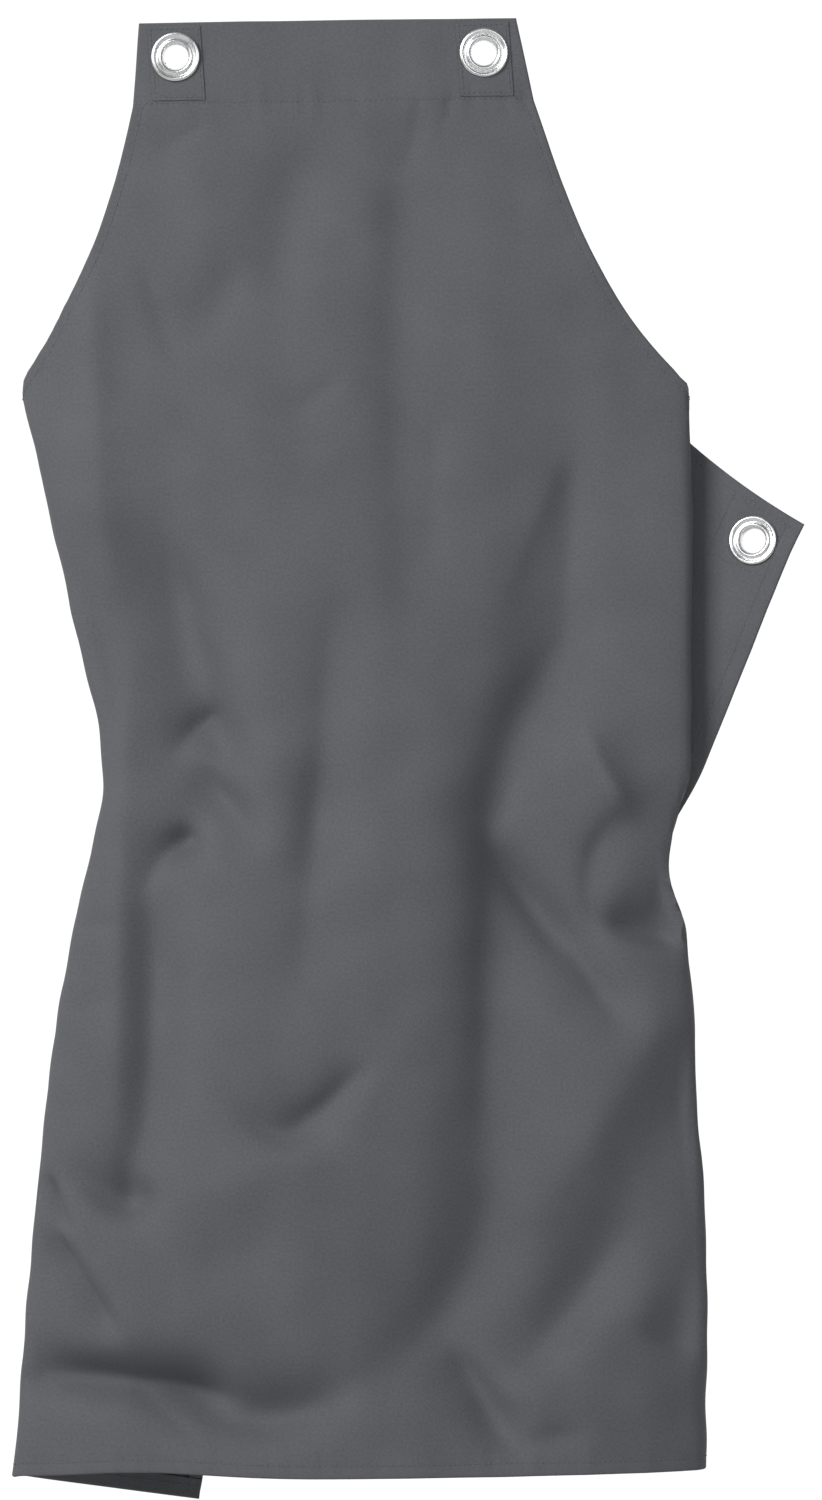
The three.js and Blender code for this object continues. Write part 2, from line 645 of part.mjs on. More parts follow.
for (const eyelet of EYELETS) {
  const seat = (eyelet.outerPatch ? patchOuter : 0) + GAP;
  const washerTop = hemInner - GAP;
  const rollTop = washerTop - EYELET.washerThickness - GAP;
  const ring = addPiece(`eyelet_${eyelet.name}`, turnedGeometry(eyeletProfile(seat, rollTop)), metalMaterial);
  const washer = addPiece(`washer_${eyelet.name}`, turnedGeometry(washerProfile(washerTop)), metalMaterial);
  for (const piece of [ring, washer]) {
    piece.position.copy(eyelet.point);
    piece.quaternion.copy(eyelet.turn);
  }
}

export default apron;
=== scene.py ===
# %% [markdown]
# # A bib apron, in the form that it takes when worn
#
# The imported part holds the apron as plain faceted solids. This script gives it its looks: the same cut of
# cloth, worn the same way, but finely meshed, with rounded hems, stitches, set eyelets and real finishes.
# All tables are in millimetres and are turned into metres only where a mesh is made.

import bpy
import numpy as np
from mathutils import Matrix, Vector


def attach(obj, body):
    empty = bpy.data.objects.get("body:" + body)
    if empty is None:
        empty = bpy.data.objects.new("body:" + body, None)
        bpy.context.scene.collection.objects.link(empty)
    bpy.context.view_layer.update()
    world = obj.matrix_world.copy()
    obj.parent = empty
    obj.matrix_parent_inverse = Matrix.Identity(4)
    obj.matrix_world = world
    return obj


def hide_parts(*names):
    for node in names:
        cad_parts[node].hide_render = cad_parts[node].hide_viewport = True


MM = 0.001
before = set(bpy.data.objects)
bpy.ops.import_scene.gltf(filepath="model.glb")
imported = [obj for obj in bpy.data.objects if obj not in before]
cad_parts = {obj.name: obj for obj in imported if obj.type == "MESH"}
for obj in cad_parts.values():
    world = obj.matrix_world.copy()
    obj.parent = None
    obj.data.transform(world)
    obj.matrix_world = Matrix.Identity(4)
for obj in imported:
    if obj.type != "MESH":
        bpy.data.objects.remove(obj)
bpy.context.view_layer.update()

# %% [markdown]
# ## Camera
#
# The photograph looks straight at the front, level with the middle of the apron. A camera without any
# perspective would nearly do, but a long lens from 4 m away also gives the slight narrowing of what lies
# further back. The view is as tall as the photograph is at the apron's scale.

# %% Set the camera
EYE = Vector((47.3, -4000, -400)) * MM
PHOTO_HEIGHT, PIXEL = 1500, 0.577  # the photograph's height in pixels, and a pixel's size on the apron
VIEW_HEIGHT = PHOTO_HEIGHT * PIXEL * MM

camera_data = bpy.data.cameras.new("camera")
camera_data.sensor_width = 36  # the sensor's long side, which is upright here
camera_data.lens = camera_data.sensor_width * -EYE.y / VIEW_HEIGHT
camera = bpy.data.objects.new("camera", camera_data)
camera.location = EYE
camera.rotation_euler = (np.pi / 2, 0, 0)
bpy.context.collection.objects.link(camera)
bpy.context.scene.camera = camera
print("lens, mm:", round(camera_data.lens, 1))

# %% [markdown]
# ## The flat cut
#
# An apron starts as one flat piece of cloth. A place on it is given by how far across it is from the centre
# line and how far it drops from the top edge. A bib as wide as the chest flares slightly over the top band.
# Then each side follows a curved armhole out to the tip of a wing, and runs straight down to the hem. An
# outline could be drawn and filled, but with two functions for the edges every later piece, from a hem to a
# stitch, finds its place on the cut.

# %% Describe the cut
HALF_WIDTH, LENGTH = 360.0, 840.0
BIB_HALF_TOP, BIB_HALF_BAND, BAND_DROP = 109.0, 116.0, 48.0
TIP_DROP = 280.0
ARMHOLE_HANDLES = np.array([
    (BIB_HALF_BAND, BAND_DROP),
    (141.0, 137.0),
    (176.0, 258.0),
    (HALF_WIDTH, TIP_DROP),
])
ARMHOLE_STEPS = 400


def cubic(handles, u):
    """Places on a cubic Bezier curve, and the directions in which it runs there."""
    u = np.asarray(u, float)[:, None]
    a, b, c, d = handles
    places = a * (1 - u) ** 3 + 3 * b * u * (1 - u) ** 2 + 3 * c * u * u * (1 - u) + d * u**3
    runs = (b - a) * (1 - u) ** 2 + 2 * (c - b) * u * (1 - u) + (d - c) * u * u
    return places, runs / np.linalg.norm(runs, axis=1, keepdims=True)


armhole, armhole_runs = cubic(ARMHOLE_HANDLES, np.linspace(0, 1, ARMHOLE_STEPS + 1))
corner = armhole[ARMHOLE_STEPS // 2]
corner_run = armhole_runs[ARMHOLE_STEPS // 2]


def bib_edge(drop):
    """Half the width of the cut at a drop above the armhole's corner, and how slanted its edge is there."""
    flare = (BIB_HALF_BAND - BIB_HALF_TOP) / BAND_DROP
    if drop <= BAND_DROP:
        return BIB_HALF_TOP + flare * drop, 1.0
    if drop >= corner[1]:
        return corner[0], 1 / corner_run[1]
    across = np.interp(drop, armhole[:, 1], armhole[:, 0])
    return across, 1 / np.interp(drop, armhole[:, 1], armhole_runs[:, 1])


def wing_edge(across):
    """The drop of a wing's top edge, and how slanted it is there."""
    drop = np.interp(across, armhole[:, 0], armhole[:, 1])
    return drop, 1 / np.interp(across, armhole[:, 0], armhole_runs[:, 0])


print("the armhole's corner is", corner.round(1), "across and down")

# %% [markdown]
# ## The worn form
#
# Seen from above, the cloth curves round the front of the body as an arc, folds at each side, and comes
# back behind. How far it reaches and turns changes with the drop, so both sides have a table of stations,
# and smooth curves run between its rows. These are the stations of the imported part. The picture's left side
# is wrapped right round. On the right the upper part of the wing is folded back out and shows its tip. A
# cloth simulation could drape it too, but wouldn't land in the photograph's form, and a formula gives the
# same form on every run.

# %% Describe the worn form
TOP_Z, TILT = 21.0, 0.013
STIFF_EDGE = 48.0  # the hemmed side edge stays straight over this width
FLAT_TURN, ROUND_PART = 0.3, 0.45  # the middle of the front is flatter than the parts beside it
FACE_ENDS = np.radians((38, 80))  # drape folds fade out as the cloth turns this far to the side
STRAIGHT = 1e-7  # a run that bends less than this, in radians a millimetre, is drawn as a straight line
# the front's hem is hitched up a little on the left: by how much, where, over what reach, below what drop
HITCH, HITCH_X, HITCH_REACH, HITCH_TOP = 4.5, -110, 60, 720

# drop, x, y
CENTRE_LINE = np.array([
    (0, -1, -2.5),
    (70, 3.5, -4.5),
    (180, 7, -15.5),
    (300, 13, -26.5),
    (450, 14, -31.5),
    (600, 14, -33.5),
    (840, 14, -21.5),
], float)
# drop, fold x, face turn, fold radius, back turn, tuck, flap turn, edge turn, lift, lean
LEFT_WRAP = np.array([
    (0, -178, 18, 7, 98, 5, 102, 130, 0, 0.10),
    (205, -178, 30, 7, 98, 5, 104, 144, 0, 0.13),
    (250, -169, 30, 14, 98, 5, 104, 144, 0, 0.13),
    (334, -150.5, 31, 24, 98, 5, 104, 144, 0, 0.13),
    (438, -130.5, 32, 24, 100, 5, 106, 152, 0, 0.15),
    (507, -145, 30, 20, 104, 5, 108, 152, 0, 0.16),
    (600, -161, 30, 17, 107, 5, 111, 152, 0, 0.17),
    (680, -169.5, 30, 15, 109, 5, 113, 151, 0, 0.18),
    (760, -177, 30, 14, 110, 5, 114, 150, 0, 0.18),
    (840, -184, 30, 13, 110, 5, 114, 150, 0, 0.18),
], float)
RIGHT_WRAP = np.array([
    (0, 202, 8, 5, 172, 22, -2, -16, 31, 0.44),
    (190, 203, 9, 5, 172, 22, -2, -18, 31, 0.44),
    (225, 208.5, 10, 5, 172, 23, -2, -18, 31, 0.44),
    (300, 209.5, 12, 5, 172, 38, -2, -18, 31, 0.44),
    (430, 208.5, 12, 5, 171, 64, 0, -10, 31, 0.44),
    (490, 196, 18, 7, 156, 76, 30, 34, 20, 0.36),
    (530, 206.5, 22, 10, 140, 70, 72, 90, 8, 0.28),
    (620, 212.5, 24, 14, 116, 50, 112, 136, 2, 0.18),
    (740, 219, 24, 14, 110, 40, 114, 144, 0, 0.15),
    (840, 219, 24, 14, 110, 40, 114, 144, 0, 0.15),
], float)
print(len(LEFT_WRAP), "stations on the left and", len(RIGHT_WRAP), "on the right")


# %% Read the stations
def read_table(table, drop):
    """The columns of a table at many drops, with curves between its rows that never overshoot."""
    levels = table[:, 0]
    level = np.clip(drop, levels[0], levels[-1])
    row = np.clip(np.searchsorted(levels, level, side="right") - 1, 0, len(levels) - 2)
    span = np.diff(levels)
    rise = np.diff(table, axis=0) / span[:, None]
    before, after = rise[:-1], rise[1:]
    turning = before * after <= 0
    slope = np.vstack([rise[:1], np.where(turning, 0, 2 * before * after), rise[-1:]])
    slope[1:-1] /= np.where(turning, 1, before + after)
    u = ((level - levels[row]) / span[row])[:, None]
    run = span[row][:, None]
    ends = table[row] * (1 + 2 * u) * (1 - u) ** 2 + table[row + 1] * u * u * (3 - 2 * u)
    return (ends + run * (slope[row] * u * (1 - u) ** 2 - slope[row + 1] * u * u * (1 - u))).T


def smoothstep(value, start, end):
    """A share from 0 to 1 that eases in at the start and out at the end."""
    share = np.clip((value - start) / (end - start), 0, 1)
    return share * share * (3 - 2 * share)


# %% Follow the cloth round one side
def walk_side(table, side, across, drop, centre_x):
    """Follows the cloth from its centre line round one side: how far it goes, turns at most and climbs."""
    _, fold_x, face, radius, back, tuck, flap, edge, lift, lean = read_table(table, drop)
    face, back, flap, edge = np.radians((face, back, flap, edge))
    flatter = FLAT_TURN * face
    chord = side * (fold_x - centre_x) - radius * (1 - np.sin(face))
    round_reach = ROUND_PART * (np.sin(face) - np.sin(flatter)) / (face - flatter)
    front = chord / (np.sin(flatter) / flatter + round_reach)
    lengths = [front, ROUND_PART * front, radius * (back - face), tuck, radius * np.abs(flap - back)]
    flap_start = sum(lengths)
    lengths += [HALF_WIDTH - STIFF_EDGE - flap_start, np.full_like(tuck, HALF_WIDTH)]
    turns = [np.zeros_like(face), flatter, face, back, back, flap, edge, edge]
    x, y, most, start = np.zeros((4, len(across)))
    for n, length in enumerate(lengths):
        run = np.clip(across - start, 0, length)
        bend = (turns[n + 1] - turns[n]) / length
        end = turns[n] + bend * run
        straight = np.abs(bend) < STRAIGHT
        bend = np.where(straight, 1, bend)
        x += np.where(straight, run * np.cos(end), (np.sin(end) - np.sin(turns[n])) / bend)
        y += np.where(straight, run * np.sin(end), (np.cos(turns[n]) - np.cos(end)) / bend)
        most = np.where(across > start, np.maximum(most, end), most)
        start = start + length
    lifted = lift * smoothstep(across, lengths[0] + lengths[1], flap_start)
    return x, y, most, lifted - lean * np.maximum(0, across - flap_start)


# %% [markdown]
# ## Drape folds
#
# Worn cloth hangs in folds from where it is held and bunches where the body bends. Each fold of the
# photograph is one row: a path over the front by three places that it passes, and how high it rises, or
# sinks if negative. A fold is drawn as a soft brush stroke that fades out at both ends. Its two sides have
# widths of their own, because most folds are steep on one side and run out gently on the other. Folds could
# be sculpted by hand, but a row of numbers can be read, checked and changed by itself.

# %% Describe the drape folds
# name, start, middle, end (x, z seen from the front), width on the left or upper side, on the other, rise,
# crease (0 is soft, 1 a sharp line)
FOLDS = [
    ("bib pull", (59, -28), (50, -47), (40, -69), 5, 6, -1.2, 0.4),
    ("bib valley", (46, -45), (43, -177), (52, -383), 22, 28, -6.5, 0.1),
    ("bib valley foot", (64, -208), (61, -245), (58, -314), 10, 10, -1.8, 0.4),
    ("bib hollow", (-10, -42), (-25, -99), (-37, -171), 26, 22, -8, 0.1),
    ("patch crease", (-70, -39), (-85, -47), (-104, -57), 5, 4, -1.5, 0.6),
    ("chest crease", (10, -185), (-5, -195), (-25, -206), 10, 7, -2.6, 0.5),
    ("chest hollow", (1, -214), (-17, -225), (-38, -217), 16, 16, -2, 0),
    ("chest pull left", (-111, -114), (-98, -149), (-81, -201), 8, 7, -1.8, 0.4),
    ("chest hollow left", (-51, -114), (-65, -145), (-85, -171), 18, 16, -6, 0),
    ("edge ridge left upper", (-136, -96), (-133, -211), (-125, -337), 14, 17, 7, 0.7),
    ("edge ridge left lower", (-121, -308), (-120, -474), (-124, -663), 12, 14, 6, 0.7),
    ("side valley left", (-108, -251), (-81, -360), (-45, -480), 50, 24, -27, 0.3),
    ("waist crease upper", (-64, -378), (-78, -385), (-98, -403), 12, 6, -9, 0.8),
    ("waist bulge upper", (-91, -395), (-67, -408), (-38, -431), 13, 11, 6, 0.3),
    ("waist valley lower", (-80, -408), (-61, -431), (-36, -461), 14, 9, -6, 0.6),
    ("waist crease lower", (-72, -461), (-92, -454), (-116, -491), 17, 8, -13, 0.7),
    ("thigh valley left", (-109, -446), (-104, -560), (-115, -680), 20, 24, -17, 0.5),
    ("thigh ridge left", (-76, -455), (-56, -469), (-33, -491), 8, 9, 2.5, 0.6),
    ("belly valley upper", (4, -297), (-2, -400), (-9, -486), 18, 22, -9, 0.4),
    ("belly valley lower", (-3, -394), (-10, -474), (-17, -554), 18, 18, -7, 0.5),
    ("knee cup", (15, -581), (-22, -621), (-70, -579), 13, 11, -8, 0.7),
    ("knee crease right", (25, -577), (2, -600), (-30, -621), 12, 7, -7, 0.7),
    ("knee lip", (58, -546), (31, -589), (-11, -623), 14, 18, 2, 0.2),
    ("shin ridge left", (-2, -624), (-42, -642), (-91, -666), 12, 18, 3, 0.2),
    ("shin hollow left", (-22, -672), (-48, -689), (-77, -706), 20, 22, -3.5, 0),
    ("main valley upper", (152, -332), (108, -392), (93, -486), 22, 34, -14, 0.6),
    ("main valley middle", (101, -383), (96, -520), (92, -658), 22, 42, -17, 0.6),
    ("main valley lower", (93, -589), (82, -701), (9, -772), 34, 40, -21, 0.6),
    ("edge ridge right", (203, -188), (204, -291), (203, -423), 22, 9, 2.5, 0.3),
    ("strip lean right", (140, -154), (136, -268), (130, -394), 56, 52, -12, 0.1),
    ("armpit ridge", (139, -220), (116, -269), (94, -325), 26, 12, 3.5, 0.6),
    ("armpit valley upper", (143, -217), (139, -274), (135, -343), 16, 9, -2.6, 0.5),
    ("armpit valley middle", (140, -262), (136, -325), (131, -388), 28, 12, -3, 0.5),
    ("armpit valley lower", (139, -308), (132, -366), (121, -428), 40, 10, -4.5, 0.6),
    ("hip ridge right", (137, -390), (117, -426), (93, -463), 9, 24, 4.5, 0.6),
    ("thigh crease upper", (90, -443), (114, -485), (144, -527), 11, 9, -6, 0.7),
    ("thigh crease right", (99, -455), (139, -510), (180, -569), 19, 14, -16, 0.7),
    ("hip crease upper right", (141, -368), (157, -412), (174, -437), 11, 12, 9, 0.8),
    ("hip crease middle right", (174, -435), (153, -470), (162, -534), 11, 16, -6, 0.6),
    ("hip crease lower right", (212, -504), (186, -505), (154, -493), 17, 8, -14, 0.8),
    ("hip wedge right", (209, -487), (194, -493), (171, -500), 16, 10, -4, 0.5),
    ("skirt valley right", (230, -543), (185, -646), (121, -732), 34, 56, -9, 0.5),
    ("skirt valley foot", (178, -663), (144, -721), (100, -768), 30, 16, -17, 0.6),
    ("skirt ridge right", (207, -520), (159, -606), (107, -680), 22, 18, 4, 0.2),
    ("hem crease left", (-51, -774), (-115, -767), (-195, -757), 18, 13, -27, 0.5),
    ("hem crease middle", (14, -761), (-38, -786), (-103, -766), 24, 15, -20, 0.6),
    ("hem crease right", (68, -740), (91, -774), (109, -810), 20, 12, -18, 0.7),
    ("hem arm right", (148, -793), (124, -798), (91, -809), 12, 14, -6, 0.5),
    ("hem ridge right", (176, -721), (133, -751), (98, -778), 9, 30, 6, 0.7),
    ("hem crease far right", (216, -741), (200, -740), (174, -727), 24, 9, -8, 0.7),
    ("side crease upper", (-167, -643), (-159, -660), (-148, -683), 9, 5, -9, 0.7),
    ("side crease lower", (-167, -672), (-143, -706), (-119, -745), 13, 6, -11, 0.7),
    ("thigh pocket end", (-97, -644), (-124, -661), (-160, -620), 16, 9, -12, 0.6),
    ("side ripple upper", (-125, -502), (-136, -501), (-147, -503), 7, 6, -2.5, 0.6),
    ("side ripple lower", (-124, -546), (-136, -545), (-155, -549), 8, 7, -2, 0.5),
    ("hem crease small", (-120, -768), (-98, -784), (-67, -806), 6, 5, -3, 0.7),
    ("band pucker left", (52, -25), (50, -33), (47, -47), 3, 3, -0.9, 0.5),
    ("band pucker right", (69, -24), (68, -32), (63, -48), 3, 3, -1.0, 0.5),
]
print(len(FOLDS), "drape folds")

# %% Raise the folds
DAB_STEP = 0.55  # a stroke is a row of dabs, this many narrow widths apart
FADE_PART = 0.3  # of the stroke's length, at each end
SHARPEST = 0.88
BRUSH_REACH = 5  # wide widths, past which a stroke is too faint to count


def fold_rise(x, z):
    """How far the drape folds lift the front at places seen from the front."""
    rise = np.zeros_like(x)
    for _, start, middle, end, first, other, height, crease in FOLDS:
        start, middle, end = np.array([start, middle, end], float)
        handle = 2 * middle - (start + end) / 2
        narrow, wide = min(first, other), max(first, other)
        length = np.linalg.norm(middle - start) + np.linalg.norm(end - middle)
        count = max(4, int(np.ceil(length / (DAB_STEP * narrow))))
        u = ((np.arange(count) + 0.5) / count)[:, None]
        spots = start * (1 - u) ** 2 + 2 * handle * u * (1 - u) + end * u * u
        runs = (handle - start) * (1 - u) + (end - handle) * u
        runs /= np.linalg.norm(runs, axis=1, keepdims=True)
        fades = smoothstep(np.minimum(u, 1 - u)[:, 0], 0, FADE_PART)
        blunt = 1 - SHARPEST * crease
        low, high = spots.min(axis=0) - BRUSH_REACH * wide, spots.max(axis=0) + BRUSH_REACH * wide
        near = np.flatnonzero((x > low[0]) & (x < high[0]) & (z > low[1]) & (z < high[1]))
        brush = np.zeros(len(near))
        for spot, run, fade in zip(spots, runs, fades):
            dx, dz = x[near] - spot[0], z[near] - spot[1]
            aside, along = dx * run[1] - dz * run[0], dx * run[0] + dz * run[1]
            reach = (first + other) / 2 + (first - other) / 2 * np.tanh(2 * aside / narrow)
            slope = (np.hypot(aside / reach, blunt) - blunt) / (np.hypot(1, blunt) - blunt)
            brush += fade * np.exp(-slope - (along / narrow) ** 2)
        rise[near] += height * brush * length / count / (np.sqrt(np.pi) * narrow)
    return rise


# %% Put the cloth in its worn form
def worn(across, drop):
    """The cloth's outer face at many places of the cut. Folds and hitch belong to the front alone."""
    _, centre_x, centre_y = read_table(CENTRE_LINE, drop)
    side = np.where(across < 0, -1.0, 1.0)
    left = walk_side(LEFT_WRAP, -1, np.abs(across), drop, centre_x)
    right = walk_side(RIGHT_WRAP, 1, np.abs(across), drop, centre_x)
    x, y, turn, climb = (np.where(across < 0, a, b) for a, b in zip(left, right))
    x = centre_x + side * x
    z = TOP_Z - drop + TILT * x + climb
    front = 1 - smoothstep(turn, *FACE_ENDS)
    rise = fold_rise(x, z) * front
    hitch = HITCH * np.exp(-(((x - HITCH_X) / HITCH_REACH) ** 2)) * smoothstep(drop, HITCH_TOP, LENGTH)
    return np.stack([
        x + side * np.sin(turn) * rise,
        centre_y + y - np.cos(turn) * rise,
        z + hitch * front,
    ], axis=-1)


print("middle of the front, mm:", worn(np.zeros(1), np.full(1, LENGTH / 2)).round(1))

# %% [markdown]
# ## Fine relief
#
# Sewing leaves its marks. Each line of stitches pulls the cloth down into a shallow groove, and the layers
# beside it creep and pucker a little. Away from the seams the cloth is never quite flat either. A bump in
# the material could fake it, but relief in the mesh also shows along the edges. It is added along the
# cloth's own direction out, by distance from the seams in the flat cut.

# %% Describe the fine relief
ARMHOLE_STITCH, SIDE_STITCH, FOOT_STITCH, BAND_STITCH = 5.5, 8.5, 7.5, 46.5
GROOVE_DEPTH, GROOVE_WIDTH = 0.16, 1.3
PUCKERS, PUCKER_LENGTHS = 6, (7, 19)  # short waves along a seam
PUCKER_HEIGHT, PUCKER_REACH = 0.28, 9.0
RIPPLES, RIPPLE_LENGTHS = 14, (30, 105)  # slow waves over the whole cloth
RIPPLE_HEIGHT = 0.16
SIDE_SHIFT = 50  # along the seams, so that the two sides pucker differently
BAND_REACH = 130  # the band's seam ends within this distance of the centre line
FAR = 99
BATCH = 4000  # places that are measured at once, to save memory
PROBE = 0.6  # step for measuring which way the cloth faces
rng = np.random.default_rng(7)
pucker_waves = rng.uniform(*PUCKER_LENGTHS, PUCKERS), rng.uniform(0, 2 * np.pi, PUCKERS)
ripple_waves = rng.uniform(*RIPPLE_LENGTHS, RIPPLES), rng.uniform(0, 2 * np.pi, (2, RIPPLES))
print("puckers, mm long:", pucker_waves[0].round(1))
print("ripples, mm long:", ripple_waves[0].round(1))


# %% Work out the fine relief
def armhole_distance(across, drop):
    """How far places lie from the armhole edge in the flat cut, and how far along it the nearest point is."""
    line = armhole[::2]
    lengths = np.concatenate([[0], np.cumsum(np.linalg.norm(np.diff(line, axis=0), axis=1))])
    near, along = np.empty(len(across)), np.empty(len(across))
    for part in np.array_split(np.arange(len(across)), max(1, len(across) // BATCH)):
        away = np.hypot(np.abs(across[part])[:, None] - line[:, 0], drop[part][:, None] - line[:, 1])
        best = away.argmin(axis=1)
        near[part], along[part] = away[np.arange(len(part)), best], lengths[best]
    return near, along


def puckers(along):
    """An uneven wave along a seam."""
    lengths, phases = pucker_waves
    return np.sin(2 * np.pi * along[:, None] / lengths + phases).mean(axis=1) * 2


def relief(across, drop):
    """The fine relief at many places of the cut."""
    arm, arm_along = armhole_distance(across, drop)
    side = np.sign(across) * SIDE_SHIFT
    seams = [
        (arm - ARMHOLE_STITCH, arm_along + side),
        (HALF_WIDTH - np.abs(across) - SIDE_STITCH, drop + side),
        (LENGTH - drop - FOOT_STITCH, across),
        (np.where(np.abs(across) < BAND_REACH, drop - BAND_STITCH, FAR), across),
    ]
    height = np.zeros_like(across)
    for away, along in seams:
        height -= GROOVE_DEPTH * np.exp(-((away / GROOVE_WIDTH) ** 2))
        height += PUCKER_HEIGHT * puckers(along) * np.exp(-((away / PUCKER_REACH) ** 2))
    lengths, (headings, phases) = ripple_waves
    for length, heading, phase in zip(lengths, headings, phases):
        way = across * np.cos(heading) + drop * np.sin(heading)
        height += RIPPLE_HEIGHT * np.sin(2 * np.pi * way / length + phase)
    return height


# %% Finish the cloth's face
def cloth(across, drop):
    """The finished outer face at places of the cut, and the direction that faces out there."""
    across, drop = np.asarray(across, float).ravel(), np.asarray(drop, float).ravel()
    along = worn(across + PROBE, drop) - worn(across - PROBE, drop)
    down = worn(across, drop + PROBE) - worn(across, drop - PROBE)
    out = np.cross(down, along)
    out /= np.linalg.norm(out, axis=1, keepdims=True)
    return worn(across, drop) + out * relief(across, drop)[:, None], out


# %% [markdown]
# ## Finishes
#
# Each finish is a small tree of shader nodes. Pictures of real cloth and metal could be wrapped round the
# pieces instead, but a pattern that is worked out has no seams and stays fine at any distance. Colours are
# written as on a screen and turned into the linear values that light adds up in.

# %% Helpers for the materials
def linear(hex_colour):
    """A screen colour, such as 5d5e63, as the shader's linear values."""
    channels = [int(hex_colour[n : n + 2], 16) / 255 for n in (0, 2, 4)]
    return [c / 12.92 if c <= 0.04045 else ((c + 0.055) / 1.055) ** 2.4 for c in channels] + [1.0]


def fill(tree, node, inputs):
    """Fills a node's inputs with values, or links them to other sockets."""
    for name, value in inputs.items():
        if isinstance(value, bpy.types.NodeSocket):
            tree.links.new(value, node.inputs[name])
        else:
            node.inputs[name].default_value = value


def add(tree, kind, inputs=None, **settings):
    """Adds a node, sets its settings and fills its inputs."""
    node = tree.nodes.new(kind)
    for name, value in settings.items():
        setattr(node, name, value)
    fill(tree, node, inputs or {})
    return node


def new_material(name):
    """A material, with its node tree and its shader."""
    material = bpy.data.materials.new(name)
    material.use_nodes = True
    return material, material.node_tree, material.node_tree.nodes["Principled BSDF"]


# %% [markdown]
# ## Twill
#
# The cloth is a plain grey poly-cotton twill, as woven for workwear. Its ribs are too fine to tell apart in
# the photograph, which shows a fine grain instead: the colour varies by a few percent and a slight bump
# breaks the light. The pattern could be laid in space, but it reads the UV map, which is the flat cut, and
# so it follows every fold.

# %% Weave the twill
RIB = 2.6 * MM  # from rib to rib along the width: over twice a real twill's, which pixels couldn't show
GRAIN = 1.6 * MM  # as with the rib, coarser than the real yarn
MOTTLE = 35 * MM  # clouds of slightly uneven dye
WAVE_BANDS = 10 / (2 * np.pi)  # diagonal bands that a wave texture of scale 1 has in a metre of width
GRAIN_SHARE = 2.2  # the grain's weight against the mottle's

# Poly-cotton twill, woven and dyed: matt, with a faint fuzz that lightens where it turns away
twill, tree, shader = new_material("grey poly-cotton twill")
cut_place = add(tree, "ShaderNodeTexCoord").outputs["UV"]
ribs = add(tree, "ShaderNodeTexWave", {
    "Vector": cut_place, "Scale": 1 / WAVE_BANDS / RIB,
    "Distortion": 1.5, "Detail": 1.0, "Detail Scale": 0.6,
}, bands_direction="DIAGONAL")
grain = add(tree, "ShaderNodeTexNoise", {"Vector": cut_place, "Scale": 1 / GRAIN, "Detail": 2.0})
mottle = add(tree, "ShaderNodeTexNoise", {"Vector": cut_place, "Scale": 1 / MOTTLE, "Detail": 2.0})
speckle = add(tree, "ShaderNodeMath", {
    0: grain.outputs["Fac"], 1: GRAIN_SHARE, 2: mottle.outputs["Fac"],
}, operation="MULTIPLY_ADD")
shade = add(tree, "ShaderNodeMapRange", {
    "Value": speckle.outputs[0], "From Min": 0.4, "From Max": 2.8, "To Min": 0.0, "To Max": 1.0,
})
colour = add(tree, "ShaderNodeMix", {
    "Factor": shade.outputs[0], "A": linear("545559"), "B": linear("6b6c71"),
}, data_type="RGBA")
weave = add(tree, "ShaderNodeMath", {0: ribs.outputs["Fac"], 1: grain.outputs["Fac"]}, operation="ADD")
bump = add(tree, "ShaderNodeBump", {"Height": weave.outputs[0], "Strength": 0.25, "Distance": 0.15 * MM})
fill(tree, shader, {
    "Base Color": colour.outputs["Result"], "Normal": bump.outputs["Normal"],
    "Roughness": 0.9, "Specular IOR Level": 0.2, "Sheen Weight": 0.12, "Sheen Roughness": 0.4,
})
print(len(tree.nodes), "nodes in the twill")

# %% [markdown]
# ## Thread and metal
#
# The thread is dyed to the cloth's grey and is a little smoother, but its colour is drawn lighter than the
# cloth's: painted light that offsets the shade in the stitch grooves. The eyelets are nickel-plated brass,
# which is polished and then handled, so its shine is soft and slightly uneven. One roughness all over would
# look like film, and scratches would be too fine to see, so a slow noise varies it.

# %% Make the thread and the metal
SMUDGE = 6 * MM

# Spun polyester thread, smoother than the matt cloth; its colour is painted lighter than the cloth's to
# offset the shade in the stitch grooves
thread, tree, shader = new_material("grey sewing thread")
fill(tree, shader, {"Base Color": linear("68696e"), "Roughness": 0.6})

# Nickel-plated brass, pressed and polished: bright and white, with soft reflections
nickel, tree, shader = new_material("nickel-plated brass")
here = add(tree, "ShaderNodeTexCoord").outputs["Object"]
smudge = add(tree, "ShaderNodeTexNoise", {"Vector": here, "Scale": 1 / SMUDGE, "Detail": 1.0})
polish = add(tree, "ShaderNodeMapRange", {
    "Value": smudge.outputs["Fac"], "From Min": 0.3, "From Max": 0.7, "To Min": 0.3, "To Max": 0.36,
})
fill(tree, shader, {
    "Base Color": linear("f0f1f2"), "Metallic": 1.0, "Roughness": polish.outputs[0],
})
print("made", thread.name, "and", nickel.name)

# %% [markdown]
# ## Meshing the panel
#
# The panel's mesh is a grid of the flat cut. Its rows run the whole way across, and the wings join below
# the armhole's corner, so the grid lines follow every edge. A plain square grid that is trimmed would leave
# jagged edges. Extra lines lie beside the edges, where the stitch grooves need them. The cloth is 1 mm thick
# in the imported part, and the same here.

# %% Lay out the grid
CELL = 3.3
WING_CELL = 4.4
CLOTH = 1.0
TURN = 1.15  # radius of a hem's folded edge
